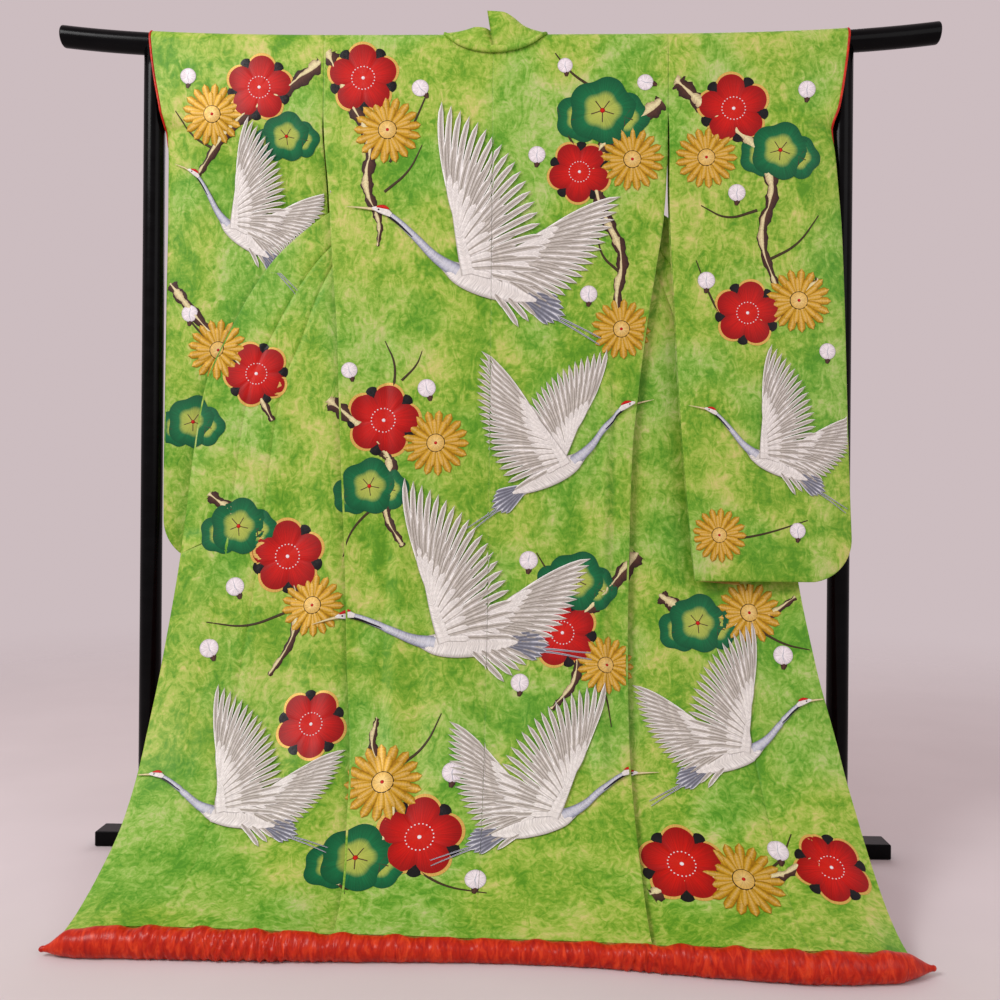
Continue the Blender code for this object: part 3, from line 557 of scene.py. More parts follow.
def crease_depth(creases, x, z):
    """How deep the soft creases are at a place, each a trough that fades out at its ends."""
    total = np.zeros(np.broadcast(x, z).shape)
    for crease in creases:
        run_x = crease.x_bottom - crease.x_top
        run_z = crease.z_bottom - crease.z_top
        size = math.hypot(run_x, run_z)
        along = ((x - crease.x_top) * run_x + (z - crease.z_top) * run_z) / size
        aside = ((x - crease.x_top) * run_z - (z - crease.z_top) * run_x) / size
        bow = 0.25 * crease.width * np.sin(along * 9 / size + 40 * crease.x_top)
        ends = ease(along / (0.25 * size)) * ease((size - along) / (0.2 * size))
        total = total + crease.depth * ends * np.exp(-((aside + bow) / crease.width) ** 2)
    return total


def ripple(x, z):
    """Soft vertical waves and creases of the hanging cloth."""
    strength = RIPPLE * ease((1.35 - z) / 0.9) * ease((z - 0.03) / 0.25)
    wide = np.sin(2 * math.pi * x / RIPPLE_WIDE + 0.6)
    narrow = np.sin(2 * math.pi * x / RIPPLE_NARROW + 1.1)
    return strength * (wide + 0.6 * narrow) + crease_depth(BODY_CREASES, x, z)


def cloth_point(x, length, depth):
    """The point at x, at a length down the back line, at a depth behind the back's layer."""
    x = np.asarray(x, dtype=float)
    length = np.asarray(length, dtype=float)
    step = 0.004
    y = np.interp(length, LINE_LENGTH, LINE_Y)
    z = np.interp(length, LINE_LENGTH, LINE_Z)
    y_on = np.interp(length + step, LINE_LENGTH, LINE_Y) - np.interp(length - step, LINE_LENGTH, LINE_Y)
    z_on = np.interp(length + step, LINE_LENGTH, LINE_Z) - np.interp(length - step, LINE_LENGTH, LINE_Z)
    size = np.hypot(y_on, z_on)
    away = depth + ripple(x, z)
    roll_y = smooth(HEM_ROLL, "x", "y", x)
    roll_radius = smooth(HEM_ROLL, "x", "radius", np.clip(x, -0.60, 0.60))
    reach = roll_radius + WALL / 2 + SEAM + 0.0001
    hem_y = roll_y + reach * math.sin(HEM_LEAN)
    hem_z = roll_radius * ROLL_SEAT + reach * math.cos(HEM_LEAN)
    hem_z = hem_z - CORNER_DROP * ease((np.abs(x) - 0.60) / 0.055)
    near_hem = ease((length - HEM_LENGTH + HEM_EASE) / HEM_EASE)
    near_rail = ease((z - 1.30) / 0.30)
    return np.stack([
        x + 0 * length,
        y - z_on / size * away + near_hem * (hem_y - LINE_Y[-1]),
        z + y_on / size * away + near_hem * (hem_z - LINE_Z[-1]) + near_rail * rail_lift(x),
    ], axis=-1)


def rail_point(x, angle):
    """A point of the cloth over the rail; the angle is 0 on top and positive to the far side."""
    return np.stack([
        x + 0 * angle,
        ARCH_RADIUS * np.sin(angle) + 0 * x,
        RAIL_HEIGHT + rail_lift(x) + ARCH_RADIUS * np.cos(angle),
    ], axis=-1)


def side_name(side, field):
    return ("left_" if side == LEFT else "right_") + field


def fold_x(side, z):
    return smooth(SIDE_LINES, "height", side_name(side, "fold"), z)


def edge_x(side, z):
    return smooth(SIDE_LINES, "height", side_name(side, "edge"), z)


def front_width(side, z):
    return smooth(FRONTS, "height", "width", z) + HALF_BACK - fold_x(side, z)


def front_turn(side, z):
    """How far from the side fold the front is folded back on itself, on its way out."""
    return (front_width(side, z) + fold_x(side, z) - edge_x(side, z)) / 2


def seam_dip(side, z, across):
    """How far the cloth is drawn in along the overlap's seams."""
    collar_seam = front_width(side, z) - COLLAR_WIDTH
    total = np.exp(-((across - body_seam(side, z)) / SEAM_REACH) ** 2)
    total = total + np.exp(-((across - collar_seam) / SEAM_REACH) ** 2)
    return SEAM_DIP * np.minimum(total, 1.0) * ease((z - 0.05) / 0.05)


def front_point(side, z, across):
    """A point of the front: its height, and how far across it lies from the side fold."""
    turn = front_turn(side, z)
    radius = smooth(FRONTS, "height", "fold_radius", z)
    depth = smooth(FRONTS, "height", "depth", z)
    past = across - turn
    quarter = radius * math.pi / 2
    angle = np.clip(past / radius, -math.pi / 2, math.pi / 2)
    inward = np.where(
        past < -quarter,
        across,
        turn - quarter + radius * np.cos(angle) - np.maximum(past - quarter, 0),
    )
    layer = depth + radius * (1 + np.sin(angle))
    out_of_fold = np.maximum(-inward, 0)
    flat_hem = ease((0.30 - z) / 0.26) * ease(out_of_fold / 0.10)
    layer = layer * (1 - 0.93 * flat_hem)
    x = side * (fold_x(side, z) - inward)
    short = 1.1 * layer * ease((0.25 - z) / 0.2)
    layer = layer + seam_dip(side, z, across)
    length = length_at_height(z) * (1 - short / HEM_LENGTH)
    return cloth_point(x, length, layer)


def spaced(start, end, dense_at, dense_width, count):
    """Places across a panel, closest at its turned edges and round one place in between."""
    margin = EDGE_STEPS * min(1.0, 0.2 * (end - start) / EDGE_STEPS[-1])
    fine = np.linspace(start + margin[-1], end - margin[-1], 400)
    weight = 1 + 5 * np.exp(-((fine - dense_at) / dense_width) ** 2)
    total = np.concatenate([[0], np.cumsum((weight[1:] + weight[:-1]) / 2)])
    middle = np.interp(np.linspace(0, total[-1], count + 1), total, fine)
    return np.concatenate([start + margin[:-1], middle, (end - margin[:-1])[::-1]])


def even(start, end, count):
    return spaced(start, end, NOWHERE, 1.0, count)


def overlap_share(z):
    """How wide the overlap panel is inside the collar: full at the hem, a point at its top."""
    narrow = OVERLAP_WIDTH - COLLAR_WIDTH
    return narrow * np.clip((OVERLAP_TOP + 0.02 - z) / (OVERLAP_TOP - 1.0), 0.0, 1.0)


def body_seam(side, z):
    return front_width(side, z) - COLLAR_WIDTH - overlap_share(z)


def hem_heights():
    """Heights of the rows next to the hem, from the hem up."""
    return np.concatenate([
        BACK_PROFILE[-1].height + 0.22 * EDGE_STEPS,
        np.array([0.0440, 0.0470, 0.0500, 0.0550, 0.0610, 0.0700]),
        np.linspace(0.080, 0.30, 26),
    ])


def back_heights():
    """Heights of the back's rows below the rail, from the hem up."""
    return np.concatenate([hem_heights(), np.linspace(0.31, 1.606, 240)])


def front_heights():
    """Heights of the front's rows, shared by all its pieces so that their seams match."""
    return np.concatenate([
        hem_heights(),
        np.linspace(0.31, COLLAR_END, 30)[:-1],
        np.array([COLLAR_END]),
        np.array([COLLAR_END + COLLAR_SLANT]),
        np.linspace(0.655, 1.20, 56),
        np.linspace(1.205, OVERLAP_TOP, 40),
        np.linspace(1.405, 1.61, 42),
    ])


def facing(along, across, side):
    """Unit vectors off the cloth's outer face, from steps up the cloth and across it."""
    normal = -side * np.cross(along, across)
    return normal / np.linalg.norm(normal, axis=-1, keepdims=True)


def back_row(side, length, x):
    """A row of the back, and its outward directions."""
    step = 0.0005
    along = cloth_point(x, length - step, 0.0) - cloth_point(x, length + step, 0.0)
    across = cloth_point(x + side * step, length, 0.0) - cloth_point(x - side * step, length, 0.0)
    return cloth_point(x, length, 0.0), facing(along, across, side)


def front_row(side, z, across):
    """A row of the front, and its outward directions."""
    step = 0.0005
    along = front_point(side, z + step, across) - front_point(side, z - step, across)
    over = front_point(side, z, across + step) - front_point(side, z, across - step)
    return front_point(side, z, across), facing(along, over, side)


def rail_row(x, angle):
    """A row of cloth over the rail, and its outward directions."""
    normal = np.zeros((len(x), 3))
    normal[:, 1] = math.sin(angle)
    normal[:, 2] = math.cos(angle)
    return rail_point(x, angle), normal


def rail_angles():
    return np.linspace(0, math.pi / 2, 11)


def neck_inner(length):
    """How far the neck opening reaches from the centre, at a length from the shoulder."""
    return NECK_HALF_WIDTH * math.sqrt(max(1 - (length / NECK_DROP) ** 2, 0.0))


def tucked(row):
    """The rows by which a row at the hem goes on down behind the roll, the lowest first."""
    points, normals = row
    return [(points + np.array([0.0, back, down]), normals) for back, down in HEM_TUCK]


def body_rows(side, count):
    """A body length from the back hem over the shoulder and down the far side to the hem."""
    rows = []
    seam_x = side * CENTRE_SEAM_X + SEAM / 2
    for z in back_heights():
        rows.append(back_row(side, length_at_height(z), side * even(seam_x, fold_x(side, z), count)))
    rows = tucked(rows[0]) + rows
    for length in (0.0560, 0.0545, 0.0520, 0.0490, 0.0460, 0.0420):
        inner = max(neck_inner(length), seam_x)
        rows.append(back_row(side, length, side * even(inner, SLEEVE_SEAM_X, count)))
    for angle in rail_angles()[::-1]:
        inner = neck_inner(ARCH_RADIUS * angle)
        rows.append(rail_row(side * even(inner, SLEEVE_SEAM_X, count), -angle))
    for angle in rail_angles()[1:]:
        points, normals = rail_row(side * even(NECK_HALF_WIDTH, SLEEVE_SEAM_X, count), angle)
        rows.append((points, normals))
    for z in front_heights()[::-1]:
        end = body_seam(side, z) - SEAM
        across = spaced(0.0, end, front_turn(side, z), TURN_REACH, count)
        points, normals = front_row(side, z, across)
        rows.append((points[::-1], normals[::-1]))
    return rows + tucked(rows[-1])[::-1]


def overlap_rows(side, count):
    """The front overlap panel, from the hem up to its point below the neck."""
    rows = []
    for z in front_heights():
        if z > OVERLAP_TOP + SEAM:
            break
        start = body_seam(side, z)
        end = front_width(side, z) if z <= COLLAR_END else start + overlap_share(z) - SEAM
        across = spaced(start, end, front_turn(side, z), TURN_REACH, count)
        rows.append(front_row(side, z, across))
    return tucked(rows[0]) + rows


def collar_neck_line(side, turn, share):
    """A line across the collar at the neck, from its sewn edge to its free edge."""
    free = np.array([float(smooth(NECK, "turn", side_name(side, name), turn)) for name in "xyz"])
    free[0] *= side
    at_centre = max(1 - turn, 0.0)
    if turn <= 1.0:
        length = NECK_DROP * math.cos(turn * math.pi / 2)
        x = neck_inner(length) + COLLAR_LAP * turn
        angle = -min(length / ARCH_RADIUS, math.pi / 2)
        below = max(length - ARCH_RADIUS * math.pi / 2, 0.0)
    else:
        x = NECK_HALF_WIDTH + COLLAR_LAP
        angle = (turn - 1) * math.pi / 2
        below = 0.0
    sewn = rail_point(np.array([side * x]), angle)[0]
    sewn[1] += COLLAR_LIFT * math.sin(angle)
    sewn[2] += COLLAR_LIFT * math.cos(angle) - below - COLLAR_LAP * at_centre
    sewn[0] += (side * SEAM + CENTRE_SEAM_X) * at_centre
    free[0] += CENTRE_SEAM_X * at_centre
    line = sewn + (free - sewn) * share[:, None]
    line[:, 1] -= 0.006 * np.sin(math.pi * share) * math.cos(min(turn, 2.0) * math.pi / 2)
    return line


def collar_rows(side, count):
    """One half of the collar: round the neck, then down the front's free edge."""
    share = even(0.0, COLLAR_WIDTH, count) / COLLAR_WIDTH
    rows = [(collar_neck_line(side, turn, share), None) for turn in np.linspace(0, 2, 49)]
    for z in front_heights()[::-1]:
        if z <= COLLAR_END + COLLAR_SLANT:
            break
        width = front_width(side, z)
        across = spaced(width - COLLAR_WIDTH, width, front_turn(side, z), TURN_REACH, count)
        rows.append(front_row(side, z, across))
    z = COLLAR_END + 2 * SEAM + COLLAR_SLANT * (1 - share)
    rows.append(front_row(side, z, front_width(side, z) - COLLAR_WIDTH * (1 - share)))
    return rows


def sleeve_edges(side, z):
    """The sleeve's inner and outer edges at a height, with its rounded bottom corner."""
    table = SLEEVES[side]
    inner = smooth(table, "height", "inner", z) + SEAM
    outer = smooth(table, "height", "outer", z)
    rise = np.clip((z - table[0].height) / SLEEVE_CORNER, 0.0, 1.0)
    return inner, outer - SLEEVE_CORNER * (1 - np.sqrt(1 - (1 - rise) ** 2))


def sleeve_layer(side, x, z, layer):
    """Points of one layer of a sleeve at x and z; the layers meet along the sewn edges."""
    table = SLEEVES[side]
    _, outer = sleeve_edges(side, z)
    near = smooth(table, "height", "near_y", z)
    far = smooth(table, "height", "far_y", z)
    closed = (WALL + SEAM) / 2 + 0.0002
    from_outer = np.maximum(outer - x, 0.0) + 2.0 * np.maximum(z - CUFF_BOTTOM, 0.0)
    from_sewn_edge = np.minimum(from_outer, np.maximum(z - table[0].height, 0.0))
    open_share = np.sqrt(np.clip(from_sewn_edge / SLEEVE_OPENING, 0.0, 1.0))
    gap = closed + ((far - near) / 2 - closed) * open_share
    crease = crease_depth(SLEEVE_CREASES[side], side * x, z)
    y = (near + far) / 2 + (gap if layer == "far" else -gap) + crease
    lift = ease((z - 1.30) / 0.30) * rail_lift(x)
    return np.stack([side * x + 0 * z, y, z + lift], axis=-1)


def sleeve_rows(side, count):
    """A sleeve: up the camera-side layer, over the rail and down the far layer."""
    bottom = SLEEVES[side][0].height
    corner = SLEEVE_CORNER * (1 - np.cos(np.linspace(0, math.pi / 2, 15)))
    heights = np.concatenate([
        bottom + EDGE_STEPS[:-1],
        bottom + np.maximum(corner[1:], EDGE_STEPS[-1] * np.linspace(1, 1.4, 14)),
        np.linspace(bottom + SLEEVE_CORNER, 1.600, 180)[1:],
    ])
    near = []
    far = []
    for z in heights:
        inner, outer = sleeve_edges(side, z)
        x = even(inner, outer, count)
        near.append((sleeve_layer(side, x, z, "near"), None))
        far.append((sleeve_layer(side, x, z, "far"), None))
    over = []
    angles = rail_angles()
    for angle in np.concatenate([-angles[::-1], angles[1:]]):
        z = RAIL_HEIGHT + ARCH_RADIUS * math.cos(angle)
        outer = smooth(SLEEVES[side], "height", "outer", z)
        x = even(SLEEVE_SEAM_X + 2 * SEAM, float(outer), count)
        over.append((rail_point(side * x, angle), None))
    return near + over + far[::-1]


def new_nodes(name):
    """A new node material: the material, its tree and its principled shader."""
    material = bpy.data.materials.new(name)
    material.use_nodes = True
    tree = material.node_tree
    return material, tree, tree.nodes["Principled BSDF"]


def place_node(tree, scale=(1, 1, 1), turned=0.0):
    """The position on the object, scaled and turned in the plane of the back."""
    where = tree.nodes.new("ShaderNodeTexCoord")
    mapping = tree.nodes.new("ShaderNodeMapping")
    mapping.inputs["Scale"].default_value = scale
    mapping.inputs["Rotation"].default_value = (0, turned, 0)
    tree.links.new(where.outputs["Object"], mapping.inputs["Vector"])
    return mapping.outputs["Vector"]


def noise_node(tree, vector, scale, detail=3.0, rough=0.5, distortion=0.0):
    node = tree.nodes.new("ShaderNodeTexNoise")
    node.inputs["Scale"].default_value = scale
    node.inputs["Detail"].default_value = detail
    node.inputs["Roughness"].default_value = rough
    node.inputs["Distortion"].default_value = distortion
    tree.links.new(vector, node.inputs["Vector"])
    return node.outputs["Fac"]


def math_node(tree, operation, first, second):
    node = tree.nodes.new("ShaderNodeMath")
    node.operation = operation
    for socket, value in zip(node.inputs, (first, second)):
        if isinstance(value, (int, float)):
            socket.default_value = value
        else:
            tree.links.new(value, socket)
    return node.outputs[0]


def ramp_node(tree, value, stops):
    """A colour ramp: stops are (position, colour) with linear colours."""
    node = tree.nodes.new("ShaderNodeValToRGB")
    ramp = node.color_ramp
    while len(ramp.elements) < len(stops):
        ramp.elements.new(0.5)
    for element, (position, colour) in zip(ramp.elements, stops):
        element.position = position
        element.color = (*colour, 1.0)
    tree.links.new(value, node.inputs["Fac"])
    return node.outputs["Color"]


def mix_node(tree, blend, factor, first, second):
    node = tree.nodes.new("ShaderNodeMix")
    node.data_type = "RGBA"
    node.blend_type = blend
    for socket, value in ((node.inputs[0], factor), (node.inputs[6], first), (node.inputs[7], second)):
        if isinstance(value, (int, float)):
            socket.default_value = value
        elif isinstance(value, tuple):
            socket.default_value = (*value, 1.0)
        else:
            tree.links.new(value, socket)
    return node.outputs[2]


def bump_node(tree, shader, height, distance, strength=1.0):
    node = tree.nodes.new("ShaderNodeBump")
    node.inputs["Strength"].default_value = strength
    node.inputs["Distance"].default_value = distance
    tree.links.new(height, node.inputs["Height"])
    tree.links.new(node.outputs["Normal"], shader.inputs["Normal"])


def tone(red, green, blue):
    """A colour given as on a screen, 0 to 255, in linear light."""
    return tuple(
        value / 255 / 12.92 if value <= 10 else ((value / 255 + 0.055) / 1.055) ** 2.4
        for value in (red, green, blue)
    )


def green_satin():
    """Tie-dyed silk satin: feathery strokes of greens over yellow green and cream patches."""
    material, tree, shader = new_nodes("satin, tie-dyed green")
    place = place_node(tree)
    patches = noise_node(tree, place, 12.0, detail=3.0, rough=0.55, distortion=0.5)
    strokes = noise_node(tree, place_node(tree, (1.0, 1.0, 0.6), 0.35), 44.0, 5.0, 0.65, 2.2)
    other_strokes = noise_node(tree, place_node(tree, (0.6, 1.0, 1.0), -0.5), 56.0, 4.0, 0.65, 1.8)
    threads = noise_node(tree, place, 150.0, detail=3.0, rough=0.6, distortion=1.0)
    value = math_node(tree, "MULTIPLY", patches, 0.38)
    value = math_node(tree, "ADD", value, math_node(tree, "MULTIPLY", strokes, 0.35))
    value = math_node(tree, "ADD", value, math_node(tree, "MULTIPLY", other_strokes, 0.19))
    value = math_node(tree, "ADD", value, math_node(tree, "MULTIPLY", threads, 0.08))
    dye = ramp_node(tree, value, (
        (0.400, tone(84, 140, 26)),
        (0.445, tone(104, 154, 36)),
        (0.485, tone(128, 166, 50)),
        (0.520, tone(150, 180, 68)),
        (0.565, tone(174, 188, 90)),
        (0.630, tone(200, 192, 116)),
    ))
    tint = noise_node(tree, place, 5.0, detail=1.0)
    cool = ramp_node(tree, tint, ((0.40, (0.80, 1.0, 1.3)), (0.54, (1.0, 1.0, 1.0))))
    colour = mix_node(tree, "MULTIPLY", 0.8, dye, cool)
    tree.links.new(colour, shader.inputs["Base Color"])
    shader.inputs["Roughness"].default_value = 0.46
    shader.inputs["Specular IOR Level"].default_value = 0.18
    shader.inputs["Sheen Weight"].default_value = 0.03
    shader.inputs["Sheen Roughness"].default_value = 0.4
    weave = noise_node(tree, place_node(tree, (1.0, 1.0, 0.12)), 900.0, detail=2.0)
    crinkle = noise_node(tree, place, 60.0, detail=4.0, rough=0.6, distortion=1.5)
    height = math_node(tree, "ADD", crinkle, math_node(tree, "MULTIPLY", weave, 0.25))
    bump_node(tree, shader, height, 0.0008, 0.5)
    return material


def red_lining(name, crinkled):
    """Red-orange silk, over wadding where it is crinkled, streaked with painted highlight and painted shade.
    """
    material, tree, shader = new_nodes(name)
    # The colour ramp's deep red and light orange are painted shade and painted highlight of fine wrinkles.
    # Stretched noise spreads them in crosswise streaks round the silk's own red.
    fine = noise_node(tree, place_node(tree, (1.0, 0.35, 0.35)), 90.0, 4.0, 0.6, 1.2)
    colour = ramp_node(tree, fine, (
        (0.30, tone(150, 14, 3)),
        (0.50, tone(182, 34, 8)),
        (0.70, tone(214, 64, 26)),
    ))
    tree.links.new(colour, shader.inputs["Base Color"])
    shader.inputs["Roughness"].default_value = 0.32
    shader.inputs["Specular IOR Level"].default_value = 0.22
    threads = noise_node(tree, place_node(tree, (1.0, 0.2, 0.2)), 700.0, 2.0)
    height = math_node(tree, "MULTIPLY", threads, 0.1)
    if crinkled:
        folds = noise_node(tree, place_node(tree, (1.0, 0.35, 0.35), 0.5), 75.0, 3.0, 0.55, 1.2)
        height = math_node(tree, "ADD", height, folds)
    bump_node(tree, shader, height, 0.0016, 0.7)
    return material


def black_lacquer():
    """Gloss black lacquer over wood, with faint dust and wear in its shine."""
    material, tree, shader = new_nodes("lacquer, black")
    wear = noise_node(tree, place_node(tree, (0.3, 1.0, 1.0)), 34.0, 5.0, 0.6)
    colour = ramp_node(tree, wear, ((0.35, (0.0008, 0.0008, 0.0010)), (0.75, (0.0025, 0.0025, 0.0030))))
    shine = tree.nodes.new("ShaderNodeMapRange")
    shine.inputs["To Min"].default_value = 0.14
    shine.inputs["To Max"].default_value = 0.30
    tree.links.new(wear, shine.inputs["Value"])
    tree.links.new(colour, shader.inputs["Base Color"])
    tree.links.new(shine.outputs["Result"], shader.inputs["Roughness"])
    shader.inputs["Specular IOR Level"].default_value = 0.08
    bump_node(tree, shader, wear, 0.0004, 0.3)
    return material


def thread_material(name, thread):
    """Embroidery silk: its colour runs from a shape's middle to its edge, in fine streaks."""
    material, tree, shader = new_nodes(f"thread, {name}")
    where = tree.nodes.new("ShaderNodeUVMap")
    where.uv_map = "Thread"
    split = tree.nodes.new("ShaderNodeSeparateXYZ")
    tree.links.new(where.outputs["UV"], split.inputs["Vector"])
    outward = split.outputs["X"]
    along = math_node(tree, "SUBTRACT", split.outputs["Y"], math_node(tree, "MULTIPLY", outward, thread.lean))
    join = tree.nodes.new("ShaderNodeCombineXYZ")
    tree.links.new(outward, join.inputs["X"])
    tree.links.new(math_node(tree, "MULTIPLY", along, THREADS_PER_METRE), join.inputs["Y"])
    streaks = noise_node(tree, join.outputs["Vector"], 1.0, detail=2.0, rough=0.6)
    colour = ramp_node(tree, outward, [(place, tone(*shade)) for place, shade in thread.stops])
    shade = ramp_node(tree, streaks, ((0.34, (0.62, 0.62, 0.62)), (0.62, (1.12, 1.12, 1.12))))
    tree.links.new(mix_node(tree, "MULTIPLY", 0.85, colour, shade), shader.inputs["Base Color"])
    shader.inputs["Roughness"].default_value = thread.roughness
    shader.inputs["Metallic"].default_value = thread.metallic
    shader.inputs["Specular IOR Level"].default_value = 0.22
    bump_node(tree, shader, streaks, 0.0004, 0.7)
    return material


def make_mesh(name, points, faces, materials, slots=None, coordinates=None):
    """One smooth-shaded mesh object; slots gives each face's material."""
    mesh = bpy.data.meshes.new(name)
    mesh.from_pydata(np.asarray(points).tolist(), [], faces)
    for material in materials:
        mesh.materials.append(material)
    mesh.shade_smooth()
    if slots is not None:
        mesh.polygons.foreach_set("material_index", np.asarray(slots, dtype=np.int32))
    if coordinates is not None:
        layer = mesh.uv_layers.new(name="Thread")
        corner_points = np.zeros(len(mesh.loops), dtype=np.int32)
        mesh.loops.foreach_get("vertex_index", corner_points)
        layer.uv.foreach_set("vector", np.asarray(coordinates, dtype=np.float32)[corner_points].ravel())
    mesh.update()
    item = bpy.data.objects.new(name, mesh)
    bpy.context.scene.collection.objects.link(item)
    return item


def grid_faces(down, across, first=0, flipped=False):
    """Quads over a grid of points, as an array of their corners."""
    i, j = np.meshgrid(np.arange(down - 1), np.arange(across - 1), indexing="ij")
    a = first + i * across + j
    quads = np.stack([a, a + across, a + across + 1, a + 1], axis=-1).reshape(-1, 4)
    return quads[:, ::-1] if flipped else quads


def cloth_shell(name, rows, materials, lining_rim=None, turned_under=0, tucked_ends=(0, 0)):
    """A thin closed shell round a grid of points, with its edges turned in.

    materials are the face cloth and the lining. lining_rim picks the rim's points, by a
    function of their places, where the lining shows at the edge. turned_under counts the
    columns from the first edge whose lining side is face cloth turned under, and
    tucked_ends the rows at the first and last end for which that holds too.
    """
    grid = np.array([points for points, _ in rows])
    down, across = grid.shape[:2]
    normal = np.cross(np.gradient(grid, axis=0), np.gradient(grid, axis=1))
    normal /= np.maximum(np.linalg.norm(normal, axis=2, keepdims=True), 1e-12)
    given = [i for i, (_, normals) in enumerate(rows) if normals is not None]
    if given:
        exact = np.array([rows[i][1] for i in given])
        normal *= math.copysign(1.0, float(np.sum(normal[given] * exact)))
        normal[given] = exact
    else:
        normal *= math.copysign(1.0, -float(normal[: down // 3, :, 1].sum()))
    thick = np.ones((down, across))
    steps = len(EDGE_THICKNESS)
    thick[:, :steps] = np.minimum(thick[:, :steps], EDGE_THICKNESS)
    thick[:, -steps:] = np.minimum(thick[:, -steps:], EDGE_THICKNESS[::-1])
    thick[:steps] = np.minimum(thick[:steps], EDGE_THICKNESS[:, None])
    thick[-steps:] = np.minimum(thick[-steps:], EDGE_THICKNESS[::-1, None])
    offset = normal * (WALL / 2) * thick[..., None]
    points = np.concatenate([(grid + offset).reshape(-1, 3), (grid - offset).reshape(-1, 3)])
    layer = down * across
    corner = np.cross(grid[down // 2 + 1, across // 2] - grid[down // 2, across // 2],
                      grid[down // 2, across // 2 + 1] - grid[down // 2, across // 2])
    flipped = float(np.dot(corner, normal[down // 2, across // 2])) < 0
    outer = grid_faces(down, across, 0, flipped)
    inner = grid_faces(down, across, layer, not flipped)
    index = np.arange(layer).reshape(down, across)
    rim = np.concatenate([index[0], index[1:, -1], index[-1, -2::-1], index[-2:0:-1, 0]])
    after = np.roll(rim, -1)
    sides = np.stack([rim, after, layer + after, layer + rim], axis=-1)
    if not flipped:
        sides = sides[:, ::-1]
    faces = np.concatenate([outer, inner, sides])
    row, column = np.divmod(np.arange(len(inner)), across - 1)
    lined = (column >= turned_under) & (row >= tucked_ends[0]) & (row < down - 1 - tucked_ends[1])
    slots = np.concatenate([np.zeros(len(outer)), lined, np.zeros(len(sides))])
    if lining_rim is not None:
        places = points[rim]
        slots[-len(sides):] = lining_rim(places)
    return make_mesh(name, points, faces.tolist(), materials, slots)


def rod(name, rings, materials):
    """A closed tube through rings of points."""
    rings = np.asarray(rings)
    count, around = rings.shape[:2]
    points = rings.reshape(-1, 3)
    faces = []
    for i in range(count - 1):
        for k in range(around):
            after = (k + 1) % around
            faces.append((i * around + k, i * around + after, (i + 1) * around + after, (i + 1) * around + k))
    faces.append(tuple(range(around - 1, -1, -1)))
    faces.append(tuple((count - 1) * around + k for k in range(around)))
    middle = rings[count // 2]
    centre = middle.mean(axis=0)
    ahead = rings[count // 2 + 1].mean(axis=0) - centre
    turning = np.cross(middle[0] - centre, middle[1] - centre)
    if float(np.dot(turning, ahead)) < 0:
        faces = [face[::-1] for face in faces]
    return make_mesh(name, points, faces, materials)


def wave_height(waves, x):
    return sum(wave.height * math.sin(2 * math.pi * x / wave.length + wave.shift) for wave in waves)


def hem_gathers(x, angle):
    """How far the roll's surface is drawn in or puffed out by its gathers."""
    total = wave_height(ROLL_WAVES, x)
    for k, gather in enumerate(GATHERS):
        near = math.exp(-((x - gather.x) / gather.reach) ** 2)
        slant = (0.008 + 0.004 * math.sin(1.7 * k)) * (angle - 2.4)
        waves = math.sin(2 * math.pi * (x + slant) / 0.0165 + 2.1 * k)
        waves += 0.6 * math.sin(2 * math.pi * (x - 0.7 * slant) / 0.0105 + 1.3 * k)
        total += gather.depth * near * (0.55 * waves + 0.35 * math.cos(3 * angle + k))
    return total


def hem_roll(material):
    """The padded roll of lining cloth that lies on the floor along the whole hem."""
    around = 36
    ends = np.array([0.0, 0.0015, 0.004, 0.008, 0.013])
    xs = np.concatenate([
        HEM_ROLL[0].x + ends,
        np.linspace(HEM_ROLL[0].x + 0.018, HEM_ROLL[-1].x - 0.018, 560),
        (HEM_ROLL[-1].x - ends)[::-1],
    ])
    rings = []
    for x in xs:
        middle = float(smooth(HEM_ROLL, "x", "y", x))
        full = float(smooth(HEM_ROLL, "x", "radius", np.clip(x, -0.60, 0.60)))
        tip = min(x - HEM_ROLL[0].x, HEM_ROLL[-1].x - x)
        radius = full
        if tip < TIP_REACH:
            radius = full * float(smooth(HEM_TIP, "inward", "radius", tip)) / TIP_FULL_RADIUS
        seat = TIP_HEIGHT + (full * ROLL_SEAT - TIP_HEIGHT) * float(ease(tip / TIP_LENGTH))
        ring = []
        for k in range(around):
            angle = 2 * math.pi * k / around
            to_camera = ease(-math.cos(angle + 0.25) + 0.25)
            reach = radius + float(to_camera) * hem_gathers(x, angle) * min(1.0, radius / 0.02)
            swell = math.exp(-((angle - math.radians(82)) / math.radians(42)) ** 2)
            reach += (ROLL_SWELL + wave_height(TOP_WAVES, x)) * swell * min(1.0, radius / 0.02) ** 2
            y = middle + reach * math.cos(angle)
            z = max(seat + reach * math.sin(angle), 0.0)
            ring.append((x, y, z))
        rings.append(ring)
    item = rod("hem_padding", rings, [material])
    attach(item, "root")
    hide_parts("hem_roll")
    return item


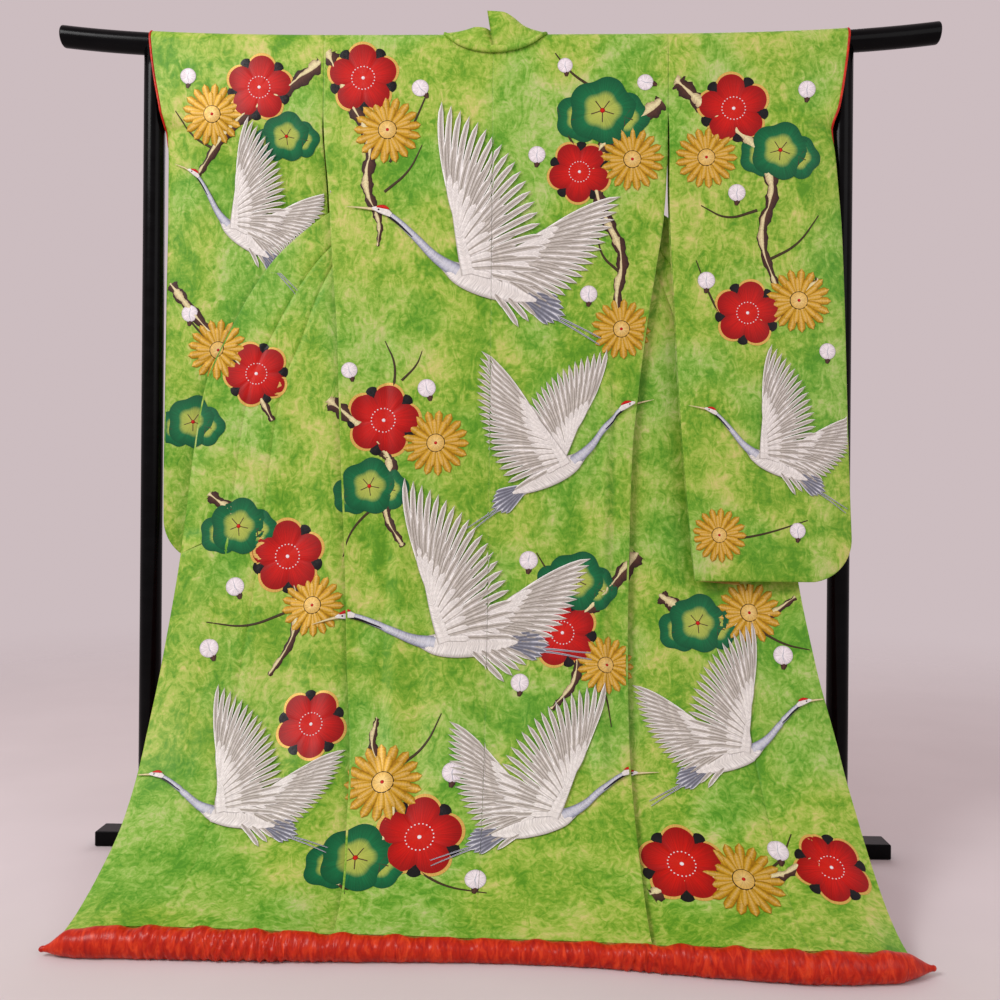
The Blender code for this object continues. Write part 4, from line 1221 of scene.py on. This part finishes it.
def cuff_piping(side, word, material):
    """The lining's red edge that stands out along a sleeve's open cuff, over the rail."""
    path = []
    heights = np.linspace(CUFF_BOTTOM - 0.03, 1.60, 26)
    for z in heights:
        _, outer = sleeve_edges(side, z)
        path.append(sleeve_layer(side, np.array([float(outer)]), z, "near")[0])
    for angle in np.linspace(-math.pi / 2, math.pi / 2, 21):
        z = RAIL_HEIGHT + ARCH_RADIUS * math.cos(angle)
        outer = float(smooth(SLEEVES[side], "height", "outer", z))
        path.append(rail_point(np.array([side * outer]), angle)[0])
    for z in heights[::-1]:
        _, outer = sleeve_edges(side, z)
        path.append(sleeve_layer(side, np.array([float(outer)]), z, "far")[0])
    path = np.array(path)
    path[:, 0] += side * 0.0012
    forward = np.gradient(path, axis=0)
    forward /= np.linalg.norm(forward, axis=1, keepdims=True)
    out = np.array([side * 1.0, 0.0, 0.0])
    rings = []
    for k, (point, ahead) in enumerate(zip(path, forward)):
        sideways = out - ahead * np.dot(out, ahead)
        sideways /= np.linalg.norm(sideways)
        other = np.cross(ahead, sideways)
        fade = min(1.0, 0.2 + 0.2 * min(k, len(path) - 1 - k))
        ring = []
        for n in range(10):
            angle = 2 * math.pi * n / 10
            ring.append(point + PIPING_RADIUS * fade * (math.cos(angle) * sideways + math.sin(angle) * other))
        rings.append(ring)
    item = rod(f"cuff_edge_{word}", rings, [material])
    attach(item, "root")
    return item


def neck_roll(material):
    """The soft roll in which the collar's sewn edge turns over, across the back of the neck."""
    turns = np.linspace(0.98, 0.0, 30)
    path = [(LEFT, turn) for turn in turns] + [(RIGHT, turn) for turn in turns[::-1][1:]]
    rings = []
    for side, turn in path:
        line = collar_neck_line(side, turn, np.array([0.0, 0.06]))
        full = math.cos(turn * math.pi / 2) ** 0.8
        sunk = NECK_FOLD_SUNK * (1 - full) ** 2
        middle = line[0] + np.array([0.0, -0.0030 * full, 0.0055 * full - sunk])
        ring = []
        for n in range(16):
            angle = 2 * math.pi * n / 16
            ring.append(middle + np.array([
                0.0,
                (0.0010 + 0.0036 * full) * math.cos(angle),
                (0.0010 + 0.0064 * full) * math.sin(angle),
            ]))
        rings.append(ring)
    item = rod("neck_fold", rings, [material])
    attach(item, "root")
    return item


def stand(material):
    """The rail and posts with smooth rounds, and the lacquer on the bars that stay."""
    around = 64
    angles = 2 * math.pi * (np.arange(around) + 0.5) / around
    bevel = np.array([0.0, 0.0006, 0.0018, 0.0035])
    drawn_in = np.array([0.0035, 0.0018, 0.0006, 0.0])
    xs = np.concatenate([
        -RAIL_HALF_LENGTH + bevel,
        np.linspace(-RAIL_HALF_LENGTH + 0.01, RAIL_HALF_LENGTH - 0.01, 110),
        (RAIL_HALF_LENGTH - bevel)[::-1],
    ])
    inset = np.concatenate([drawn_in, np.zeros(110), drawn_in[::-1]])
    rings = []
    for x, less in zip(xs, inset):
        radius = RAIL_RADIUS - less
        rings.append(np.stack([
            np.full(around, x),
            radius * np.cos(angles),
            RAIL_HEIGHT + rail_lift(x) + radius * np.sin(angles),
        ], axis=-1))
    rail = rod("rail_rounded", rings, [material])
    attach(rail, "root")
    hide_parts("top_rail")
    for side, word in SIDES:
        low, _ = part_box(f"post_{word}")
        x = side * POST_X + POST_RADIUS * np.cos(angles)
        y = POST_RADIUS * np.sin(angles)
        top = RAIL_HEIGHT + rail_lift(x) - np.sqrt(RAIL_RADIUS ** 2 - y ** 2) - 2 * SEAM
        rings = [
            np.stack([x, y, low.z + (top - low.z) * share], axis=-1)
            for share in np.concatenate([[0.0, 0.002], np.linspace(0.02, 1.0, 30)])
        ]
        post = rod(f"post_round_{word}", rings, [material])
        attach(post, "root")
        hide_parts(f"post_{word}")
    for node in ("base_rail", "foot_near_left", "foot_near_right", "foot_far_left", "foot_far_right"):
        carried = bpy.data.objects[node]
        carried.data.materials.clear()
        carried.data.materials.append(material)


def garment(satin, lining):
    """The garment's cloth pieces as thin shells; returns them by node name."""
    made = {}
    tuck = len(HEM_TUCK) + 1
    for side, word in SIDES:
        made[f"body_{word}"] = cloth_shell(
            f"body_cloth_{word}", body_rows(side, 44), [satin, lining], tucked_ends=(tuck, tuck))
        made[f"overlap_{word}"] = cloth_shell(
            f"overlap_cloth_{word}", overlap_rows(side, 18), [satin, lining], tucked_ends=(tuck, 0))
        made[f"collar_{word}"] = cloth_shell(f"collar_cloth_{word}", collar_rows(side, 14), [satin, lining])

        def at_cuff(places, side=side):
            _, outer = sleeve_edges(side, places[:, 2])
            return (places[:, 2] > CUFF_BOTTOM) & (np.abs(places[:, 0]) > outer - 0.004)

        made[f"sleeve_{word}"] = cloth_shell(
            f"sleeve_cloth_{word}", sleeve_rows(side, 40), [satin, lining],
            lining_rim=at_cuff, turned_under=5)
    for node, item in made.items():
        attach(item, "root")
        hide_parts(node)
    return made


Patch = namedtuple("Patch", "places lift thread material")


def leaf(spine, lift, crown, material, columns=5):
    """A long stitched shape: the spine's rows are two places and the half width there."""
    spine = np.asarray(spine, dtype=float)
    ahead = np.gradient(spine[:, :2], axis=0)
    ahead /= np.maximum(np.linalg.norm(ahead, axis=1, keepdims=True), 1e-9)
    aside = np.stack([-ahead[:, 1], ahead[:, 0]], axis=1)
    across = np.linspace(-1, 1, columns)
    places = spine[:, None, :2] + aside[:, None] * (spine[:, 2, None] * across)[..., None]
    steps = np.linalg.norm(np.diff(spine[:, :2], axis=0), axis=1)
    along = np.concatenate([[0.0], np.cumsum(steps)])
    raised = lift + crown * (1 - across ** 2) + 0 * along[:, None]
    thread = np.stack(np.broadcast_arrays(np.abs(across), along[:, None]), axis=-1)
    return Patch(places, raised, thread, material)


def disc(x, up, reach, turn, lift, dome, material, outline=None, rings=6, around=60):
    """A round or lobed stitched shape; dome gives its height by share of the reach and angle."""
    angle = np.linspace(0, 2 * math.pi, around + 1)
    share = np.linspace(0, 1, rings + 1)[:, None]
    edge = reach * (outline(angle) if outline else np.ones(around + 1))
    places = np.stack([
        x + np.cos(angle + turn) * edge * share,
        up + np.sin(angle + turn) * edge * share,
    ], axis=-1)
    raised = lift + dome(share, angle) + 0 * share
    thread = np.stack(np.broadcast_arrays(share, angle * reach), axis=-1)
    return Patch(places, raised, thread, material)


def moved(patches, x, down, size=1.0, turn=0.0, head=RIGHT):
    """Shapes drawn to the right and up, put at a place on the cloth."""
    cosine = math.cos(turn) * size
    sine = math.sin(turn) * size
    made = []
    for patch in patches:
        a = patch.places[..., 0]
        b = patch.places[..., 1]
        places = np.stack([x + head * (a * cosine - b * sine), down - (a * sine + b * cosine)], axis=-1)
        thread = patch.thread * np.array([1.0, size])
        made.append(patch._replace(places=places, thread=thread))
    return made


def softened(rows, times=3):
    """A line of rows with its corners cut, its ends kept."""
    rows = np.asarray(rows, dtype=float)
    for _ in range(times):
        near = 0.75 * rows[:-1] + 0.25 * rows[1:]
        far = 0.25 * rows[:-1] + 0.75 * rows[1:]
        middle = np.stack([near, far], axis=1).reshape(-1, rows.shape[1])
        rows = np.concatenate([rows[:1], middle, rows[-1:]])
    return rows


def feather(base, angle, length, width, bend, lift, material):
    """One pointed feather, bent a little towards its end."""
    share = np.linspace(0, 1, 11)
    turned = angle + bend * share ** 2
    step = np.stack([np.cos(turned), np.sin(turned)], axis=1) * length / 10
    places = np.concatenate([[base], base + np.cumsum(step[1:], axis=0)])
    half = width * (0.45 + 0.55 * share) * np.sqrt(1 - share ** 5)
    return leaf(np.column_stack([places, half]), lift, 0.0007, material)


def wing(shoulder, arm, sweep, lift, reach=1.0):
    """A spread wing: long feathers, then two shorter layers over their roots, and the arm."""
    shoulder = np.array(shoulder)
    wrist = shoulder + 0.34 * reach * np.array([math.cos(arm), math.sin(arm)])
    layers = (
        (21, 0.42, 0.27, 0.024, "feather", 0.0),
        (17, 0.28, 0.18, 0.023, "feather", 0.0004),
        (12, 0.15, 0.10, 0.028, "down", 0.0008),
    )
    made = []
    for count, root_length, more, width, material, above in layers:
        for k in range(count):
            share = 1 - k / (count - 1)
            base = shoulder + (wrist - shoulder) * share
            angle = arm + sweep * (1 - share ** 0.8)
            length = reach * (root_length + more * share)
            bend = math.copysign(0.16 + 0.16 * share, sweep)
            made.append(feather(base, angle, length, width, bend, lift + above + 0.00003 * k, material))
    made.append(leaf(softened((
        (*(shoulder - 0.05 * (wrist - shoulder)), 0.045),
        (*(shoulder + 0.45 * (wrist - shoulder)), 0.034),
        (*(wrist + 0.10 * (wrist - shoulder)), 0.010),
    )), lift + 0.0012, 0.0006, "down"))
    return made


def crane(shape):
    """A flying crane, one wing length long, drawn to the right."""
    made = wing((0.00, 0.04), math.radians(shape.far), math.radians(shape.far_sweep), 0.0004, 0.92)
    for y, sink in ((-0.020, 0.0), (0.0, 0.012)):
        made.append(leaf(softened((
            (-0.26, -0.040 + y, 0.007), (-0.50, -0.100 + sink, 0.006), (-0.78, -0.150 + 2 * y, 0.003),
        )), 0.0006, 0.0004, "tail"))
    for k, degrees in enumerate((170, 208, 176, 202, 182, 196, 189)):
        base = np.array([-0.24, -0.02 - 0.004 * (degrees - 189) / 10])
        made.append(feather(base, math.radians(degrees), 0.24 + 0.012 * k, 0.024, 0.05,
                            0.0007 + 0.00005 * k, "tail"))
    made.append(leaf(softened((
        (-0.36, -0.030, 0.010), (-0.24, -0.024, 0.055), (-0.05, -0.004, 0.084),
        (0.11, 0.012, 0.072), (0.20, 0.040, 0.036), (0.27, 0.066, 0.020),
    )), 0.0011, 0.0012, "down", 9))
    made.append(leaf(softened((
        (0.13, 0.022, 0.046), (0.28, 0.070, 0.028), (0.42, 0.160, 0.021), (0.55, 0.232, 0.018),
        (0.63, 0.262, 0.016),
    )), 0.0015, 0.0009, "neck", 7))
    made.append(leaf(softened((
        (0.44, 0.158, 0.003), (0.54, 0.216, 0.009), (0.62, 0.248, 0.008), (0.66, 0.258, 0.003),
    )), 0.0021, 0.0003, "ink"))
    made.append(leaf(softened((
        (0.595, 0.252, 0.014), (0.640, 0.268, 0.025), (0.690, 0.268, 0.016), (0.715, 0.264, 0.006),
    )), 0.0023, 0.0006, "down"))
    made.append(leaf(softened((
        (0.615, 0.284, 0.004), (0.650, 0.291, 0.014), (0.690, 0.280, 0.005),
    )), 0.0027, 0.0005, "red"))
    made.append(leaf(softened((
        (0.690, 0.264, 0.010), (0.770, 0.254, 0.006), (0.860, 0.238, 0.0015),
    )), 0.0022, 0.0003, "pale bark"))
    made.append(disc(0.674, 0.266, 0.006, 0.0, 0.0030, plain_dome, "ink", rings=1, around=8))
    made += wing((0.07, 0.04), math.radians(shape.near), math.radians(shape.near_sweep), 0.0016)
    return moved(made, shape.x, shape.down, shape.size, math.radians(shape.raised), shape.head)


def plain_dome(share, angle):
    return 0.0006 * (1 - share ** 4) + 0 * angle


def from_petal(angle):
    """The angle from the middle of the nearest of five petals."""
    return np.mod(angle + math.radians(36), math.radians(72)) - math.radians(36)


def petal_dome(share, angle):
    """Raised petals with a crease between each two."""
    to_middle = from_petal(angle)
    crease = np.exp(-((math.radians(36) - np.abs(to_middle)) / 0.10) ** 2)
    return 0.0011 * (1 - share ** 5) - 0.0008 * crease * ease((share - 0.3) / 0.2) * (1 - share ** 8)


def five_lobes(angle):
    """Five round petals: the outline's reach by angle."""
    to_middle = from_petal(angle)
    inside = LOBE_SIZE ** 2 - (NOTCH_DEPTH * np.sin(to_middle)) ** 2
    return NOTCH_DEPTH * np.cos(to_middle) + np.sqrt(inside)


def scallops(angle):
    return 1 - 0.13 * np.abs(np.sin(2.5 * angle)) ** 3


def blossom():
    """A five-petalled blossom in red with a gold edge and a ring of white knots."""
    made = []
    for k in range(5):
        angle = math.radians(36 + 72 * k)
        made.append(disc(0.80 * math.cos(angle), 0.80 * math.sin(angle), 0.20, 0.0, 0.0001,
                         plain_dome, "ink", rings=3, around=20))
    made.append(disc(0, 0, 1.07, 0.0, 0.0002, petal_dome, "pale gold", five_lobes, 8, 90))
    made.append(disc(0, 0, 0.99, 0.0, 0.0006, petal_dome, "red", five_lobes, 8, 90))
    for k in range(22):
        angle = 2 * math.pi * k / 22
        made.append(disc(0.33 * math.cos(angle), 0.33 * math.sin(angle), 0.020, 0.0, 0.0017,
                         plain_dome, "white", rings=1, around=7))
    made.append(disc(0, 0, 0.050, 0.0, 0.0018, plain_dome, "white", rings=2, around=12))
    return made


def chrysanthemum():
    """A gold chrysanthemum of two rings of narrow petals round a ringed middle."""
    made = []
    for count, length, width, lift, start in ((17, 1.10, 0.175, 0.0003, 0.0), (13, 0.80, 0.165, 0.0007, 0.2)):
        for k in range(count):
            angle = 2 * math.pi * k / count + start
            share = np.linspace(0.12, 1, 9)
            half = width * (0.30 + 0.70 * share) * np.sqrt(1.0001 - share ** 7)
            spine = np.column_stack([np.cos(angle) * share * length, np.sin(angle) * share * length, half])
            made.append(leaf(spine, lift + 0.00002 * k, 0.0007, "gold"))
    made.append(disc(0, 0, 0.31, 0.0, 0.0015, plain_dome, "ink", rings=4, around=32))
    made.append(disc(0, 0, 0.285, 0.0, 0.0020, plain_dome, "pale gold", rings=4, around=32))
    made.append(disc(0, 0, 0.055, 0.0, 0.0026, plain_dome, "red", rings=1, around=10))
    return made


def pine():
    """A clump of pine needles: three fans with light middles, the middle one in front."""
    fans = ((-0.52, -0.18, 0.60, 0.0002), (0.52, -0.18, 0.60, 0.0004), (0.0, -0.02, 0.82, 0.0008))
    made = []
    for x, up, reach, lift in fans:
        made.append(disc(x, up, reach, 0.0, lift, plain_dome, "green", scallops, 7, 60))
        for k in range(5):
            angle = math.pi * (2 * k + 1) / 5 + math.pi / 10
            end_x = x + 0.34 * reach * math.cos(angle)
            end_up = up + 0.34 * reach * math.sin(angle)
            spine = ((x, up, 0.012), (end_x, end_up, 0.012))
            made.append(leaf(softened(spine, 1), lift + 0.0006, 0.0003, "bark", 3))
    made.append(disc(0.0, -0.02, 0.060, 0.0, 0.0018, plain_dome, "red", rings=1, around=10))
    return made


def bud():
    """A round white bud with a crease and a small dark foot."""
    return [
        leaf(((-0.10, -1.5, 0.16), (0.0, -1.1, 0.34), (0.06, -0.7, 0.30)), 0.0002, 0.0004, "bark", 3),
        disc(0, 0, 1.0, 0.0, 0.0004, plain_dome, "white", None, 4, 28),
        leaf(((0.10, -0.8, 0.02), (-0.05, -0.1, 0.05), (0.12, 0.6, 0.02)), 0.0010, 0.0002, "neck", 3),
    ]


SHAPES = {"blossom": blossom, "chrysanthemum": chrysanthemum, "pine": pine, "bud": bud}


def branch(rows):
    """A gnarled branch in dark stitches with a pale streak on its upper side."""
    rows = softened(rows, 4)
    rows[:, 2] *= BRANCH_WEIGHT
    length = np.arange(len(rows))
    rows[:, 2] *= 1 + 0.22 * np.sin(0.9 * length + 50 * rows[0, 0]) + 0.10 * np.sin(2.3 * length)
    rows[:, 1] *= -1
    pale = rows.copy()
    pale[:, 0] -= 0.22 * rows[:, 2]
    pale[:, 1] += 0.25 * rows[:, 2]
    pale[:, 2] *= 0.62 * np.clip(0.75 + 0.5 * np.sin(0.35 * length + 90 * rows[0, 1]), 0.05, 1.0)
    return moved([leaf(rows, 0.0, 0.0007, "bark"), leaf(pale, 0.0004, 0.0005, "pale bark")], 0, 0)


def twig(rows):
    rows = softened(rows, 3)
    rows[:, 1] *= -1
    return moved([leaf(rows, 0.0, 0.0005, "twig", 3)], 0, 0)


def picture(branches, twigs, flowers, cranes):
    """All the stitched shapes of one side of the garment, the lowest first."""
    made = []
    for rows in branches:
        made += branch(rows)
    for rows in twigs:
        made += twig(rows)
    for flower in flowers:
        made += moved(SHAPES[flower.kind](), flower.x, flower.down, flower.radius, math.radians(flower.turn))
    for shape in cranes:
        made += [patch._replace(lift=patch.lift + CRANE_LIFT) for patch in crane(shape)]
    return made


def sleeve_place(side, layer, x, down):
    """A point of a sleeve's layer at x and a length down from the shoulder."""
    way = 1 if layer == "far" else -1
    hanging = sleeve_layer(side, side * x, RAIL_HEIGHT + OVER_RAIL - np.maximum(down, OVER_RAIL), layer)
    arched = rail_point(x, way * np.clip(down, 0.0, OVER_RAIL) / ARCH_RADIUS)
    return np.where((down < OVER_RAIL)[..., None], arched, hanging)


def front_place(side, x, down):
    z = height_at_length(down)
    return front_point(side, z, front_width(side, z) - (edge_x(side, z) - side * x))


def far_front_place(side, x, down):
    z = height_at_length(down)
    return front_point(side, z, fold_x(side, z) - side * x)


# A face of the cloth that carries stitches: its piece, its places by x and down, the way it
# faces, its limits away from the centre by height, and the lengths down where it starts and ends
Ground = namedtuple("Ground", "name node side place faces near far top bottom")


def grounds(side, word):
    """The faces of one half of the garment that carry stitches."""
    sleeve_bottom = SLEEVES[side][0].height

    def flap_edge(z):
        return edge_x(side, z) - 0.004

    def sleeve_inner(z):
        inner = sleeve_edges(side, z)[0] + 0.005
        if side == LEFT:
            return np.where(z > 1.30, inner, np.maximum(inner, edge_x(side, z) + 0.002))
        return inner

    def sleeve_outer(z):
        return sleeve_edges(side, z)[1] - 0.004

    def flap_end(z):
        edge = flap_edge(z)
        if side == LEFT:
            return edge
        beside_sleeve = np.minimum(edge, sleeve_edges(side, z)[0] + 0.010)
        return np.where(z > sleeve_bottom, beside_sleeve, edge)

    def far_near(z):
        return fold_x(side, z) - np.minimum(front_turn(side, z) - 0.02, body_seam(side, z) - 0.005)

    sleeve_end = OVER_RAIL + RAIL_HEIGHT - sleeve_bottom - 0.005
    return (
        Ground("back", f"body_{word}", side, lambda x, down: cloth_point(x, down, 0.0), 1,
               lambda z: side * CENTRE_SEAM_X + 0.0003 + 0 * z, lambda z: fold_x(side, z) - 0.004,
               0.004, HEM_LENGTH - 0.006),
        Ground("front", f"body_{word}", side, lambda x, down: front_place(side, x, down), 1,
               lambda z: fold_x(side, z) + 0.002, flap_end, 0.50, HEM_LENGTH - 0.010),
        Ground("far_front", f"body_{word}", side, lambda x, down: far_front_place(side, x, down), -1,
               far_near, lambda z: fold_x(side, z) - 0.006, 0.060, 0.36),
        Ground("sleeve", f"sleeve_{word}", side, lambda x, down: sleeve_place(side, "near", x, down), 1,
               sleeve_inner, sleeve_outer, 0.004, sleeve_end),
        Ground("far_sleeve", f"sleeve_{word}", side, lambda x, down: sleeve_place(side, "far", x, down), -1,
               lambda z: sleeve_edges(side, z)[0] + 0.005, sleeve_outer, 0.004, sleeve_end),
    )


def on_ground(ground, x, down):
    """Places on a face of the cloth, and the directions off it."""
    step = 0.0005
    over = ground.place(x + step, down) - ground.place(x - step, down)
    up = ground.place(x, down - step) - ground.place(x, down + step)
    normal = ground.faces * np.cross(over, up)
    return ground.place(x, down), normal / np.maximum(np.linalg.norm(normal, axis=-1, keepdims=True), 1e-12)


def ground_height(ground, down):
    """The height by which a face's limits are looked up."""
    if "sleeve" in ground.name:
        return RAIL_HEIGHT + OVER_RAIL - np.maximum(down, OVER_RAIL)
    return height_at_length(down)


def embroider(ground, word, patches, threads):
    """One mesh of the stitches on a face of the cloth. What runs past a seam is drawn in to it."""
    heights = ground_height(ground, np.linspace(ground.top, ground.bottom, 60))
    nearest = float(np.min(ground.near(heights)))
    farthest = float(np.max(ground.far(heights)))
    order = list(threads)
    kept = []
    quads = []
    slots = []
    count = 0
    for patch in patches:
        aside = ground.side * patch.places[..., 0]
        down = patch.places[..., 1]
        if aside.max() < nearest or aside.min() > farthest:
            continue
        if down.max() < ground.top or down.min() > ground.bottom:
            continue
        faces = grid_faces(*aside.shape, first=count)
        kept.append(np.column_stack([
            aside.ravel(), down.ravel(), patch.lift.ravel(), patch.thread.reshape(-1, 2),
        ]))
        quads.append(faces)
        slots.append(np.full(len(faces), order.index(patch.material)))
        count += aside.size
    if not kept:
        return None
    aside, down, lift, outward, along = np.concatenate(kept).T
    quads = np.concatenate(quads)
    slots = np.concatenate(slots)
    z = ground_height(ground, down)
    near = ground.near(z)
    kept_aside = np.clip(aside, near, np.maximum(ground.far(z), near))
    kept_down = np.clip(down, ground.top, ground.bottom)
    outside = (np.abs(kept_aside - aside) > 1e-9) | (kept_down != down)
    inside = ~outside[quads].all(axis=1)
    quads = quads[inside]
    slots = slots[inside]
    if not len(quads):
        return None
    used, faces = np.unique(quads, return_inverse=True)
    faces = faces.reshape(-1, 4)
    place, normal = on_ground(ground, ground.side * kept_aside[used], kept_down[used])
    place = place + normal * (STITCH_BASE + lift[used])[:, None]
    corner = place[faces]
    turning = np.cross(corner[:, 2] - corner[:, 0], corner[:, 3] - corner[:, 1])
    inward = np.einsum("ij,ij->i", turning, normal[faces[:, 0]]) < 0
    faces[inward] = faces[inward][:, ::-1]
    coordinates = np.column_stack([outward, along])[used]
    item = make_mesh(
        f"embroidery_{ground.name}_{word}", place, faces.tolist(),
        [threads[name] for name in order], slots, coordinates)
    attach(item, "root")
    return item


def embroidery():
    """The stitched picture on every face of the cloth; returns the meshes by the piece below."""
    threads = {name: thread_material(name, thread) for name, thread in THREADS.items()}
    near = picture(BRANCHES, TWIGS, FLOWERS, BACK_CRANES + LEFT_CRANES + RIGHT_CRANES)
    far = picture(FAR_BRANCHES, (), FAR_FLOWERS, FAR_CRANES)
    made = {}
    for side, word in SIDES:
        for ground in grounds(side, word):
            item = embroider(ground, word, near if ground.faces == 1 else far, threads)
            if item:
                made.setdefault(ground.node, []).append(item)
    return made


def studio():
    """A plain pale floor that fades into an even pale surround, with soft light."""
    bpy.context.scene.view_settings.view_transform = "Standard"
    material, tree, shader = new_nodes("backdrop paper")
    grain = noise_node(tree, place_node(tree), 3.0, 3.0)
    colour = ramp_node(tree, grain, ((0.3, (0.62, 0.562, 0.566)), (0.7, (0.65, 0.59, 0.594))))
    tree.links.new(colour, shader.inputs["Base Color"])
    shader.inputs["Roughness"].default_value = 0.85
    shader.inputs["Specular IOR Level"].default_value = 0.2
    distance = tree.nodes.new("ShaderNodeVectorMath")
    distance.operation = "LENGTH"
    tree.links.new(place_node(tree), distance.inputs[0])
    fade = tree.nodes.new("ShaderNodeMapRange")
    fade.interpolation_type = "SMOOTHSTEP"
    fade.inputs["From Min"].default_value = 1.3
    fade.inputs["From Max"].default_value = 4.2
    fade.inputs["To Min"].default_value = 1.0
    fade.inputs["To Max"].default_value = 0.0
    tree.links.new(distance.outputs["Value"], fade.inputs["Value"])
    tree.links.new(fade.outputs["Result"], shader.inputs["Alpha"])
    bpy.ops.mesh.primitive_plane_add(size=10.0, location=(0, 0, -0.0005))
    floor = bpy.context.active_object
    floor.name = "floor"
    floor.data.materials.append(material)
    world = bpy.context.scene.world or bpy.data.worlds.new("studio")
    bpy.context.scene.world = world
    world.use_nodes = True
    background = world.node_tree.nodes["Background"]
    background.inputs["Color"].default_value = (0.80, 0.672, 0.696, 1)
    background.inputs["Strength"].default_value = 0.755
    lights = (
        ("key", (-2.4, -2.3, 3.0), 1.4, 92.0),
        ("fill", (2.3, -2.8, 2.2), 2.2, 24.0),
        ("back", (0.5, 3.2, 3.0), 2.5, 34.0),
    )
    for name, place, size, power in lights:
        light = bpy.data.lights.new(name, "AREA")
        light.size = size
        light.energy = power
        item = bpy.data.objects.new(name, light)
        item.location = place
        aim = Vector((0, 0, 0.8)) - Vector(place)
        item.rotation_euler = aim.to_track_quat("-Z", "Y").to_euler()
        bpy.context.scene.collection.objects.link(item)


def camera():
    """The photograph's camera: level, turned a little to the left and rolled a little."""
    ahead = Vector((-math.sin(CAMERA_YAW), math.cos(CAMERA_YAW), 0))
    level = Vector((math.cos(CAMERA_YAW), math.sin(CAMERA_YAW), 0))
    up = Vector((0, 0, 1))
    right = level * math.cos(CAMERA_ROLL) + up * math.sin(CAMERA_ROLL)
    above = up * math.cos(CAMERA_ROLL) - level * math.sin(CAMERA_ROLL)
    lens = bpy.data.cameras.new("camera")
    lens.lens = LENS
    lens.sensor_width = SENSOR
    item = bpy.data.objects.new("camera", lens)
    turn = Matrix((right, above, -ahead)).transposed()
    item.matrix_world = Matrix.Translation(CAMERA_PLACE) @ turn.to_4x4()
    bpy.context.scene.collection.objects.link(item)
    bpy.context.scene.camera = item


def main():
    camera()
    studio()
    satin = green_satin()
    lining = red_lining("silk, red lining", False)
    padding = red_lining("silk, red over wadding", True)
    lacquer = black_lacquer()
    made = garment(satin, lining)
    piping = {side: cuff_piping(side, word, padding) for side, word in SIDES}
    hem_roll(padding)
    stand(lacquer)
    embroidery()
    neck_roll(satin)


main()
